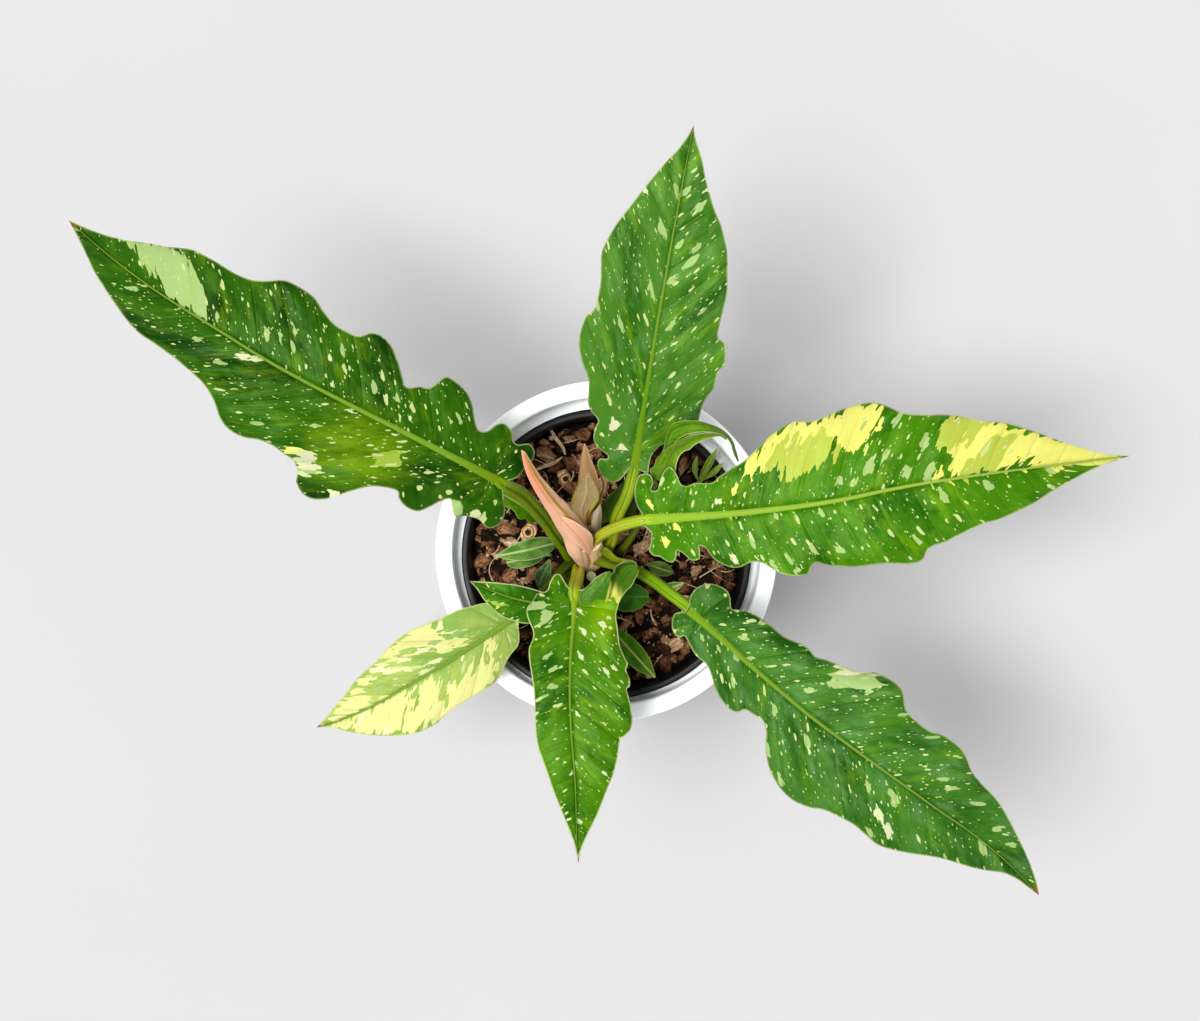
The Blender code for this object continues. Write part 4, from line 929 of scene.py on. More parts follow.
@dataclass
class Liner(Turned):
    """The black plastic liner with its rolled lip."""

    centre: Pair = (0, -2)
    sides: int = 144
    wobble: float = 0.35
    top: float = 152
    foot: float = 8.3
    top_radius: float = 75.5
    foot_radius: float = 54
    wall: float = 1.2
    floor: float = 1.5
    lip_radius: float = 78
    lip_depth: float = 4.5
    levels: tuple[float, ...] = (140, 120, 90, 50)

    def radius(self, height: float) -> float:
        """Outer radius of the wall at a height."""
        share = (height - self.foot) / (self.top - self.foot)
        return self.foot_radius + (self.top_radius - self.foot_radius) * share

    def profile(self) -> list[Pair]:
        """The wall's section, from the middle of the base round to the middle of the inner floor."""
        lip_foot, lip_top = self.top - self.lip_depth, self.top - self.wall
        floor_top = self.foot + self.floor
        points = [(0, self.foot), (self.foot_radius - self.wall, self.foot)]
        points += [(self.foot_radius, self.foot + self.wall), (self.radius(lip_foot), lip_foot)]
        points += [(self.lip_radius - 0.4, lip_foot), (self.lip_radius, lip_foot + 0.5)]
        points += arc((self.lip_radius - self.wall, lip_top), self.wall, 0, 90, 6)
        points += arc((self.radius(self.top), lip_top), self.wall, 90, 180, 6)
        points += [(self.radius(height) - self.wall, height) for height in (*self.levels, floor_top)]
        return points + [(0, floor_top)]

    def build(self) -> None:
        """Make the liner."""
        form = Form("nursery_liner")
        self.spin(form, self.profile())
        form.build(LinerFinish().make(), "liner_plastic", ["liner_pot"], 45)


# Bark mix

CHIP_SQUARENESS = 0.6
CHIP_BREAKS = 7
BREAK_REACH = (0.45, 0.85)
RIPPLE_DEPTH = 0.8
SPLINTER_DEPTH = 0.75
GRAIN_REACH = 500
CHIP_TILT = 0.35
PAINTED_SIDE_SHADE = 0.16
CHIP_SHARP = 32.0


def round_section(count: int) -> np.ndarray:
    """A circle of corners of radius 1."""
    return np.stack([np.cos(turns(count)), np.sin(turns(count))], axis=-1)


class Ball:
    """A ball of even triangles that chips are shaped from."""

    def __init__(self, level: int) -> None:
        """Make a ball whose triangles are halved a number of times."""
        mesh = bpy.data.meshes.new("ball")
        ball = bmesh.new()
        bmesh.ops.create_icosphere(ball, subdivisions=level, radius=1)
        ball.to_mesh(mesh)
        ball.free()
        self.corners = np.array([tuple(vert.co) for vert in mesh.vertices])
        self.faces = [tuple(face.vertices) for face in mesh.polygons]
        bpy.data.meshes.remove(mesh)

    def broken(self, draw: random.Random, size: Triple) -> tuple[np.ndarray, float]:
        """Shape a rough slab with broken faces, split along its layers.

        Args:
            draw: The source of its chances.
            size: Its length, width and height.

        Returns:
            Its corners, and where its grain starts.
        """
        shaped = np.sign(self.corners) * np.abs(self.corners) ** CHIP_SQUARENESS
        for _ in range(CHIP_BREAKS):
            normal = np.array([draw.gauss(0, 1), draw.gauss(0, 1), draw.gauss(0, 0.5)])
            normal /= np.linalg.norm(normal)
            past = np.maximum(shaped @ normal - draw.uniform(*BREAK_REACH), 0)
            shaped = shaped - past[:, None] * normal
        local = shaped * np.array(size) / 2
        offset = draw.uniform(0, GRAIN_REACH)
        for corner, base in zip(local, self.corners):
            x, y, z = corner
            ripple = noise.noise(Vector((x * 0.35 + offset, y * 0.9, z * 1.5)))
            splinter = noise.noise(Vector((x * 1.1, y * 2.2 + offset, z * 3)))
            corner += base * (RIPPLE_DEPTH * ripple + SPLINTER_DEPTH * splinter)
        return local, offset


@dataclass(frozen=True)
class ChipPlace:
    """A chip of bark that is seen by itself: its place in plan, size, heading and place on the ramp."""

    x: float
    y: float
    length: float
    width: float
    heading: float
    tint: float
    ringed: bool = False


@dataclass
class BarkMix:
    """Bark chips, crumbs, fibres and roots over a bed that fills the liner, painted near black for its own
    dark colour and for the shade in the gaps between chips.

    Pairs are the least and the most. Widths are shares of the length, and so are the crumbs' heights;
    spacings are shares of two chips' half lengths together; all else is in millimetres. The wall's
    fields are for the small chips along the liner.
    """

    centre: Pair = (0, -2)
    top: float = 140
    foot: float = 10.1
    reach: float = 71.8
    foot_reach: float = 52.6
    bed_sides: int = 120
    bed_rings: int = 44
    # The bed's place on the ramp: near black, its own colour and painted shade in the gaps.
    gap_shade_tint: float = 0.02
    bed_sink: float = 1.6
    crown: Pair = (-9.7, -0.2)
    crown_clearance: float = 15.5
    crown_shade: float = 30
    stems: tuple[Pair, ...] = ()
    seed: int = 5
    chips: int = 330
    long_chips: int = 190
    most_tries: int = 40000
    long_lengths: Pair = (6.5, 14)
    short_lengths: Pair = (4, 8)
    chip_widths: Pair = (0.55, 0.85)
    chip_heights: Pair = (3, 5.5)
    chip_spacing: float = 0.62
    chip_rises: Pair = (-1.6, 1.6)
    crown_rises: Pair = (-1.6, 0.2)
    chip_tints: tuple[float, ...] = (0.2, 0.28, 0.34, 0.4, 0.46, 0.5, 0.54, 0.6, 0.68, 0.8)
    wall_chips: int = 150
    wall_insets: Pair = (1.8, 4.6)
    wall_lengths: Pair = (3, 6)
    wall_widths: Pair = (0.5, 0.8)
    wall_heights: Pair = (2.4, 3.6)
    wall_spacing: float = 0.5
    wall_rises: Pair = (-0.8, 1.6)
    wall_tints: Pair = (0.25, 0.7)
    crumbs: int = 1100
    crumb_inset: float = 2
    crumb_lengths: Pair = (0.8, 3.2)
    crumb_widths: Pair = (0.4, 0.8)
    crumb_heights: Pair = (0.3, 0.6)
    crumb_rises: Pair = (-0.6, 1.4)
    crumb_tints: tuple[float, ...] = (0.3, 0.45, 0.55, 0.6, 0.7, 0.85)
    fibres: int = 150
    fibre_inset: float = 6
    fibre_bends: Pair = (-0.5, 0.5)
    fibre_steps: Pair = (1.6, 4.2)
    fibre_radii: Pair = (0.22, 0.5)
    fibre_tints: Pair = (0.7, 1.1)
    fibre_rises: tuple[float, ...] = (0.4, 2.6, 3.4, 2.8, 0.8)
    root_tint: float = 0.93
    marked: tuple[ChipPlace, ...] = (
        ChipPlace(-22.4, 39.3, 10.4, 9.4, 15, 0.96, True), ChipPlace(-43.0, 9.6, 11.0, 9.6, 60, 0.7, True),
        ChipPlace(-50.8, 4.6, 12.0, 7.0, 10, 0.86), ChipPlace(-52.0, -12.4, 10.5, 9.0, 30, 0.62),
        ChipPlace(-40.2, -11.6, 11.0, 6.0, 80, 0.6), ChipPlace(-32.2, 52.4, 12.0, 8.0, 150, 0.74),
        ChipPlace(-45.5, 56.0, 13.0, 9.0, 40, 0.66), ChipPlace(-29.6, 61.5, 4.0, 2.4, 20, 1.02),
        ChipPlace(50.3, 49.7, 12.0, 9.5, 70, 0.52), ChipPlace(60.4, 42.2, 9.5, 7.0, 110, 0.66),
        ChipPlace(47.9, 44.3, 4.0, 2.6, 30, 0.98), ChipPlace(29.2, -71.0, 6.0, 5.0, 30, 0.9),
        ChipPlace(23.8, -68.0, 5.0, 4.0, 60, 1.0),
    )
    roots: tuple[tuple[Triple, ...], ...] = (
        ((-38.8, 43.4, 143.0), (-34.0, 45.4, 145.2), (-28.0, 47.6, 145.8), (-24.0, 50.6, 144.0)),
        ((-30.2, 66.0, 143.0), (-27.4, 61.0, 146.0), (-23.6, 56.0, 147.0), (-22.2, 52.0, 145.0)),
        ((-2.0, 62.0, 142.0), (2.0, 55.0, 145.6), (3.4, 49.0, 144.0)),
    )

    def chip(
        self, form: Form, ball: Ball, draw: random.Random, place: Triple, size: Triple, turn: float,
        tint: float, ringed: bool = False,
    ) -> None:
        """Add one chip, with painted shade that darkens it down its sides.

        Args:
            form: The form to add it to.
            ball: The body that it is shaped from.
            draw: The source of its chances.
            place: Its middle.
            size: Its length, width and height.
            turn: Its heading in radians.
            tint: Its place on the ramp of browns.
            ringed: Whether its finish is measured from its own middle, for rings.
        """
        local, offset = ball.broken(draw, size)
        lean_x, lean_y = draw.uniform(-CHIP_TILT, CHIP_TILT), draw.uniform(-CHIP_TILT, CHIP_TILT)
        turned = Matrix.Identity(3)
        for angle, axis in ((turn, "Z"), (lean_x, "X"), (lean_y, "Y")):
            turned = turned @ Matrix.Rotation(angle, 3, axis)
        world = local @ np.array(turned).T + np.array(place)
        grain = local if ringed else local + np.array([offset, offset / 2, 0])
        # Painted shade: the tint falls from the chip's top down its sides.
        height = np.clip((world[:, 2] - place[2]) / (size[2] / 2), -1, 1)
        form.add(world, ball.faces, grain=grain, tint=tint + PAINTED_SIDE_SHADE * (height - 0.6))

    def spot(self, angle: float, reach: float) -> Pair:
        """The place at an angle and a reach from the liner's middle."""
        return self.centre[0] + reach * math.cos(angle), self.centre[1] + reach * math.sin(angle)

    def clear(self, x: float, y: float, half: float) -> bool:
        """Whether a chip of a half size fits there, inside the liner and off every stem."""
        off_wall = math.dist((x, y), self.centre) < self.reach - half * 0.66
        off_crown = math.dist((x, y), self.crown) > self.crown_clearance + half * 0.5
        return off_wall and off_crown and all(math.dist((x, y), stem) > half + 1 for stem in self.stems)

    @staticmethod
    def crowded(made: Sequence[Triple], x: float, y: float, half: float, spacing: float) -> bool:
        """Whether a chip of a half size at (x, y) is too near one of those already made."""
        return any(math.hypot(x - a, y - b) < (half + c) * spacing for a, b, c in made)

    def build_bed(self) -> None:
        """Make the bed, painted near black for its own colour and for the shade between chips: a rough top,
        and the wall and floor that fill the liner.
        """
        form = Form("bark_bed")
        steps = [(0.01, self.foot), (self.foot_reach, self.foot), (self.reach, self.top - 3)]
        steps += [(self.reach * (1 - step / self.bed_rings), self.top) for step in range(1, self.bed_rings)]
        rings = np.array([
            level_ring(self.centre, reach, height, self.bed_sides) for reach, height in steps
        ])
        for corner in rings[3:].reshape(-1, 3):
            corner[2] += 2.4 * noise.noise(Vector(corner) / 5) + 1.2 * noise.noise(Vector(corner) / 2)
            corner[2] -= self.bed_sink
        form.tube(rings, grain=rings, tint=np.full(rings.shape[:2], self.gap_shade_tint))
        form.build(BarkFinish("bed", depth=1.4, variation=0.45).make(), "bark", ["bark_mix"])

    def build_chips(self, draw: random.Random, finish: bpy.types.Material) -> None:
        """Make the chips: the marked ones, then as many as fit, then small ones along the wall."""
        form, ringed_form, ball = Form("bark_chips"), Form("ringed_chips"), Ball(3)
        for mark in self.marked:
            height = min(mark.width, 5.5)
            place, size = (mark.x, mark.y, self.top + 2.4 - height * 0.1), (mark.length, mark.width, height)
            into = ringed_form if mark.ringed else form
            self.chip(into, ball, draw, place, size, math.radians(mark.heading), mark.tint, mark.ringed)
        ringed_form.build(RingedBarkFinish().make(), "bark", (), CHIP_SHARP)
        made: list[Triple] = [(mark.x, mark.y, mark.length * 0.45) for mark in self.marked]
        for _ in range(self.most_tries):
            if len(made) >= self.chips:
                break
            x, y = self.spot(draw.uniform(0, math.tau), self.reach * math.sqrt(draw.random()))
            lengths = self.long_lengths if len(made) < self.long_chips else self.short_lengths
            length = draw.uniform(*lengths)
            half = length / 2
            if self.crowded(made, x, y, half, self.chip_spacing) or not self.clear(x, y, half):
                continue
            made.append((x, y, half))
            size = (length, length * draw.uniform(*self.chip_widths), draw.uniform(*self.chip_heights))
            near_crown = math.dist((x, y), self.crown) < self.crown_shade
            rise = draw.uniform(*(self.crown_rises if near_crown else self.chip_rises))
            tint = draw.choice(self.chip_tints)
            self.chip(form, ball, draw, (x, y, self.top + rise), size, draw.uniform(0, math.tau), tint)
        for _ in range(self.wall_chips):
            x, y = self.spot(draw.uniform(0, math.tau), self.reach - draw.uniform(*self.wall_insets))
            length = draw.uniform(*self.wall_lengths)
            if self.crowded(made, x, y, length / 2, self.wall_spacing):
                continue
            made.append((x, y, length / 2))
            place = (x, y, self.top + draw.uniform(*self.wall_rises))
            size = (length, length * draw.uniform(*self.wall_widths), draw.uniform(*self.wall_heights))
            turn, tint = draw.uniform(0, math.tau), draw.uniform(*self.wall_tints)
            self.chip(form, ball, draw, place, size, turn, tint)
        form.build(finish, "bark", (), CHIP_SHARP)

    def build_crumbs(self, draw: random.Random, finish: bpy.types.Material) -> None:
        """Make the crumbs."""
        form, ball = Form("bark_crumbs"), Ball(1)
        for _ in range(self.crumbs):
            angle = draw.uniform(0, math.tau)
            reach = (self.reach - self.crumb_inset) * math.sqrt(draw.random())
            x, y = self.spot(angle, reach)
            length = draw.uniform(*self.crumb_lengths)
            if not self.clear(x, y, length):
                continue
            shares = (1, draw.uniform(*self.crumb_widths), draw.uniform(*self.crumb_heights))
            size = tuple(length * share for share in shares)
            place = (x, y, self.top + draw.uniform(*self.crumb_rises))
            tint = draw.choice(self.crumb_tints)
            self.chip(form, ball, draw, place, size, draw.uniform(0, math.tau), tint)
        form.build(finish, "bark", (), CHIP_SHARP)

    def build_fibres(self, draw: random.Random, section: np.ndarray) -> None:
        """Make the thin bent fibres that lie on the chips, each a section run along a path."""
        form = Form("bark_fibres")
        for _ in range(self.fibres):
            angle = draw.uniform(0, math.tau)
            x, y = self.spot(angle, (self.reach - self.fibre_inset) * math.sqrt(draw.random()))
            turn, bend = draw.uniform(0, math.tau), draw.uniform(*self.fibre_bends)
            step, radius = draw.uniform(*self.fibre_steps), draw.uniform(*self.fibre_radii)
            tint = draw.uniform(*self.fibre_tints)
            corners = []
            for rise in self.fibre_rises:
                corners.append((x, y, self.top + rise + draw.uniform(-0.4, 0.6)))
                x, y, turn = x + step * math.cos(turn), y + step * math.sin(turn), turn + bend
            if all(self.clear(a, b, 2) for a, b, _ in corners):
                widths, heights = [(0, radius), (1, radius / 2)], [(0, radius), (1, 0.2)]
                form.strand(Run(corners, section, widths, heights, None, 4), tint)
        form.build(BarkFinish("fibres", depth=0.3).make(), "bark")

    def build(self) -> None:
        """Make the bed, the chips, the crumbs, the fibres and the roots."""
        draw = random.Random(self.seed)
        self.build_bed()
        finish = BarkFinish("chips").make()
        self.build_chips(draw, finish)
        self.build_crumbs(draw, finish)
        circle = round_section(10)
        self.build_fibres(draw, circle)
        form = Form("roots")
        for path in self.roots:
            widths, heights = [(0, 0.7), (0.5, 1.0), (1, 0.5)], [(0, 0.7), (1, 0.5)]
            form.strand(Run(path, circle, widths, heights, None, 8), self.root_tint)
        form.build(BarkFinish("roots", depth=0.4).make(), "bark")


# Blades

VEIN_CURVE = 0.004
VEIN_SPACING = 19.0
FAN_START = 8.0
FAN_SPREAD = 14.0
BLADE_THICKNESS = 0.7
RIB_DEPTH = 4.2
RIB_TIP_DEPTH = 1.3
RIB_WIDTHS = ((0, 1), (0.06, 0.76), (0.2, 0.52), (0.4, 0.36), (0.7, 0.23), (1, 0.1))
RIB_RISE = 0.8
RIB_STRANDS = (0, 0.35, -0.35, 0.7, -0.7, 1.0, -1.0, 1.25, -1.25, 1.5, -1.5)
RIB_GROOVE = 0.5
RIB_GROOVE_PLACE = 1.25
RIB_GROOVE_WIDTH = 0.3
JOIN = 6.0
JOIN_DEPTH = 0.35
JOIN_SHARE = 0.6
STALK_TOP = 0.82
WAVE_REACH = 35.0
LIFT_REACH = 40.0
LIFT_START = 8.0
LIFT_RUN = 10.0
QUILT_DEPTH = 0.6
QUILT_ROUNDNESS = 0.8
QUILT_MIDDLE = 0.6
SIDE_QUILT_DEPTH = 0.08
PUFF_OFF_RIB = (2, 16)
PUFF_OFF_MARGIN = (-2, 5)
PUCKER_DEPTH = 2.2
PUCKER_LENGTH = 15.0
MARGIN_CURL = 0.035
MARGIN_CURL_REACH = 6.0
MARGIN_CURL_OFF_RIB = (3, 10)
MARGIN_STEPS = 5
SIDE_OFFSET = 300.0
OFF_RIB = 9.0
FAR_OUTSIDE = -20.0
SAME_PLACE = 0.0001


@dataclass
class Blade:
    """A lobed blade, laid out along its rib.

    spine gives the rib's height above the floor, rib its sideways bend, and left and right the
    lobed margins from foot to tip. Between the rib and the margin the blade rises, then droops, in
    proportion to the distance and to its square, and the margins wave. left_lift and right_lift
    raise the lobes beside the foot. veins gives the angle between the rib and its side veins, on
    the left and the right, at the foot and at the tip. zones are outlines of pale tissue and of the
    painted glow of light through thin tissue, and flecks are (x, y, length, width) rows of small pale
    patches that lie along the veins.
    """

    name: str
    foot: Pair
    heading: float
    foot_half_width: float
    spine: list[Pair]
    rib: list[Pair]
    left: list[Pair]
    right: list[Pair]
    finish: LeafFinish
    veins: tuple[float, float, float, float]
    zones: dict[Tint, tuple[tuple[Pair, ...], ...]] = field(default_factory=dict)
    flecks: dict[Tint, tuple[tuple[float, float, float, float], ...]] = field(default_factory=dict)
    rise: float = 0.16
    droop: float = 0.0052
    wave: float = 2.2
    wave_length: float = 46.0
    wave_start: Pair = (0.0, 0.5)
    left_lift: float = 0.0
    right_lift: float = 0.0
    cell: float = 1.35

    @property
    def length(self) -> float:
        """Distance from foot to tip."""
        return self.spine[-1][0]

    def outline(self) -> np.ndarray:
        """The margin as one closed row, anticlockwise from the left end of the foot."""
        middle, half = self.rib[0][1], self.foot_half_width
        tip = [(self.length, self.rib[-1][1])]
        right = smooth_path([(0, middle - half)] + self.right + tip, MARGIN_STEPS)
        left = smooth_path([(0, middle + half)] + self.left + tip, MARGIN_STEPS)
        return np.vstack([[(0, middle)], right, left[:-1][::-1]])

    def in_plan(self, x: Numbers, y: Numbers) -> tuple[Numbers, Numbers]:
        """Turn the blade's own places into places in plan."""
        cos, sin = math.cos(math.radians(self.heading)), math.sin(math.radians(self.heading))
        return self.foot[0] + x * cos - y * sin, self.foot[1] + x * sin + y * cos

    def half_width(self, x: np.ndarray) -> np.ndarray:
        """Half the width of the rib."""
        return self.foot_half_width * value_at(RIB_WIDTHS, np.clip(x / self.length, 0, 1))

    def vein_place(self, x: np.ndarray, y: np.ndarray) -> tuple[np.ndarray, np.ndarray, np.ndarray]:
        """The side vein through a place.

        Args:
            x: Places along the rib.
            y: Places across it.

        Returns:
            Where the vein leaves the rib, the distance along it, and the sine of its angle.
        """
        offset = y - value_at(self.rib, x)
        distance = np.abs(offset)
        share = np.clip(x / self.length, 0, 1) ** 3
        left, right = (
            foot * (1 - share) + tip * share for foot, tip in (self.veins[:2], self.veins[2:])
        )
        angle = np.radians(np.where(offset > 0, left, right))
        straight = x - VEIN_CURVE * distance ** 2
        leaving = straight - distance / np.tan(angle)
        turned_back = np.arctan2(distance, straight - FAN_START) - angle
        behind = leaving < FAN_START
        along = np.where(behind, np.hypot(straight - FAN_START, distance), distance / np.sin(angle))
        return np.where(behind, FAN_START - turned_back * FAN_SPREAD, leaving), along, np.sin(angle)

    def height(self, x: np.ndarray, y: np.ndarray, edge: np.ndarray) -> np.ndarray:
        """Height of the upper face above the floor, at places with a distance from the margin."""
        offset = y - value_at(self.rib, x)
        distance, on_left = np.abs(offset), offset > 0
        waving = np.sin(math.tau * (x / self.wave_length + np.where(on_left, *self.wave_start)))
        lift = np.where(on_left, self.left_lift, self.right_lift)
        nearness = np.maximum(0, 1 - np.maximum(x, 0) / LIFT_REACH)
        leaving, along, _ = self.vein_place(x, y)
        quilt = np.abs(np.sin(math.pi * leaving / VEIN_SPACING)) ** QUILT_ROUNDNESS - QUILT_MIDDLE
        side_quilt = np.abs(np.sin(3 * math.pi * leaving / VEIN_SPACING)) - QUILT_MIDDLE
        puff = eased(distance, *PUFF_OFF_RIB) * eased(edge, *PUFF_OFF_MARGIN)
        puckers = np.array([
            noise.noise(Vector((a / PUCKER_LENGTH, b / PUCKER_LENGTH / 2, self.heading)))
            for a, b in zip(leaving, np.copysign(along, offset))
        ])
        curl = np.maximum(MARGIN_CURL_REACH - edge, 0) ** 2
        across = distance / self.half_width(x)
        groove = RIB_GROOVE * np.exp(-((across - RIB_GROOVE_PLACE) / RIB_GROOVE_WIDTH) ** 2)
        on_rib = RIB_RISE * np.maximum(1 - across ** 2, 0) - groove
        return (
            value_at(self.spine, x) + self.rise * distance - self.droop * distance ** 2
            + self.wave * (distance / WAVE_REACH) ** 2 * waving
            + lift * nearness * (np.maximum(0, distance - LIFT_START) / LIFT_RUN) ** 2
            + puff * (QUILT_DEPTH * quilt + SIDE_QUILT_DEPTH * side_quilt + PUCKER_DEPTH * puckers)
            - MARGIN_CURL * curl * eased(distance, *MARGIN_CURL_OFF_RIB) + on_rib * eased(x, 0, JOIN)
        )

    def join(self, half_height: float) -> Triple:
        """Where a stalk of a half height ends inside the rib, with its top just under the rib's."""
        middle, top = (float(value_at(line, np.array([JOIN]))[0]) for line in (self.rib, self.spine))
        return (*self.in_plan(JOIN, middle), top + RIB_RISE - JOIN_DEPTH - half_height * STALK_TOP)

    def inner_points(self, outline: np.ndarray) -> np.ndarray:
        """An even field of points inside the margin, and rows of points along the rib."""
        row_height = self.cell * math.sqrt(3) / 2
        low, high = outline.min(axis=0), outline.max(axis=0)
        rows = np.arange(low[1] + row_height / 2, high[1], row_height)
        x, y = np.meshgrid(np.arange(low[0], high[0], self.cell), rows)
        x = x + (np.arange(len(rows)) % 2)[:, None] * (self.cell / 2)
        grid = np.stack([x.ravel(), y.ravel()], axis=-1)
        stations = np.arange(self.cell, self.length, self.cell)
        middle, half = value_at(self.rib, stations), self.half_width(stations)
        ridge = np.vstack([np.stack([stations, middle + share * half], axis=-1) for share in RIB_STRANDS])
        offset = np.abs(grid[:, 1] - value_at(self.rib, grid[:, 0]))
        ridge_reach = max(RIB_STRANDS) * self.half_width(grid[:, 0]) + self.cell * 0.6
        near = (offset < ridge_reach) & (grid[:, 0] > 0)
        points = np.vstack([grid[~near], ridge])
        return points[margin_distance(points, outline) > self.cell * 0.55]

    def tint_fields(self, x: np.ndarray, y: np.ndarray) -> dict[str, np.ndarray]:
        """For each tint, the distance inside its zones and its flecks, negative outside them."""
        places = np.stack([x, y], axis=-1)
        leaving, along, sine = self.vein_place(x, y)
        fields = {}
        for tint in Tint:
            inside = np.full(len(x), FAR_OUTSIDE)
            for zone in self.zones.get(tint, ()):
                inside = np.maximum(inside, margin_distance(places, np.array(zone, float)))
            fields[tint.value] = inside
            inside = np.full(len(x), FAR_OUTSIDE)
            for fleck_x, fleck_y, length, width in self.flecks.get(tint, ()):
                at_x, at_y = np.array([fleck_x]), np.array([fleck_y])
                at, reach, _ = self.vein_place(at_x, at_y)
                same_side = (y - value_at(self.rib, x)) * (at_y - value_at(self.rib, at_x)) > 0
                off = np.hypot((leaving - at) * sine / (width / 2), (along - reach) / (length / 2))
                inside = np.maximum(inside, np.where(same_side, (1 - off) * width / 2, FAR_OUTSIDE))
            fields[tint.value + FLECKS] = inside
        return fields

    @staticmethod
    def closed(faces: list[tuple[int, ...]], count: int) -> list[tuple[int, ...]]:
        """Close a sheet's upper faces with the same faces underneath and a wall round its margin.

        Args:
            faces: The upper triangles.
            count: How many corners the sheet has, by which the lower ones are numbered on.

        Returns:
            All the faces.
        """
        uses: dict[tuple[int, int], tuple[int, int]] = {}
        for a, b, c in faces:
            for pair in ((a, b), (b, c), (c, a)):
                key = (min(pair), max(pair))
                if key in uses:
                    del uses[key]
                else:
                    uses[key] = pair
        lower = [(c + count, b + count, a + count) for a, b, c in faces]
        return faces + lower + [(b, a, a + count, b + count) for a, b in uses.values()]

    def build(self) -> None:
        """Make the blade as a thin closed body with a ridge under its rib."""
        outline = self.outline()
        places = np.vstack([outline, self.inner_points(outline)])
        margin = [list(range(len(outline)))]
        corners = [Vector(place) for place in places]
        flat, _, triangles, _, _, _ = geometry.delaunay_2d_cdt(corners, [], margin, 1, SAME_PLACE)
        x, y = np.array([tuple(place) for place in flat]).T
        edge = np.maximum(margin_distance(np.stack([x, y], axis=-1), outline), 0)
        height = self.height(x, y, edge)
        across = np.abs(y - value_at(self.rib, x)) / self.half_width(x)
        share = np.clip(x / self.length, 0, 1)
        ridge = RIB_DEPTH * (1 - share) + RIB_TIP_DEPTH * share - BLADE_THICKNESS
        depth = BLADE_THICKNESS + ridge * np.sqrt(np.maximum(1 - across ** 2, 0)) * (x > -0.5)
        upper = np.stack([*self.in_plan(x, y), height], axis=-1)
        lower = upper - depth[:, None] * np.array(UP)
        leaving, along, sine = self.vein_place(x, y)
        side = np.where(y > value_at(self.rib, x), 1, -1)
        grain = np.stack([leaving * sine + SIDE_OFFSET * side, along, leaving / VEIN_SPACING], axis=-1)
        values = {
            "grain": grain, "edge": edge, "rib": np.where(x > 0, across, OFF_RIB), "share": share,
            **self.tint_fields(x, y),
        }
        doubled = {name: np.concatenate([rows, rows]) for name, rows in values.items()}
        count = len(flat)
        form = Form("leaf_" + self.name)
        form.add(
            np.vstack([upper, lower]), self.closed([tuple(face) for face in triangles], count),
            under=np.repeat([0.0, 1.0], count), **doubled,
        )
        form.build(self.finish.make(), "leaf", ["blade_" + self.name], 60)


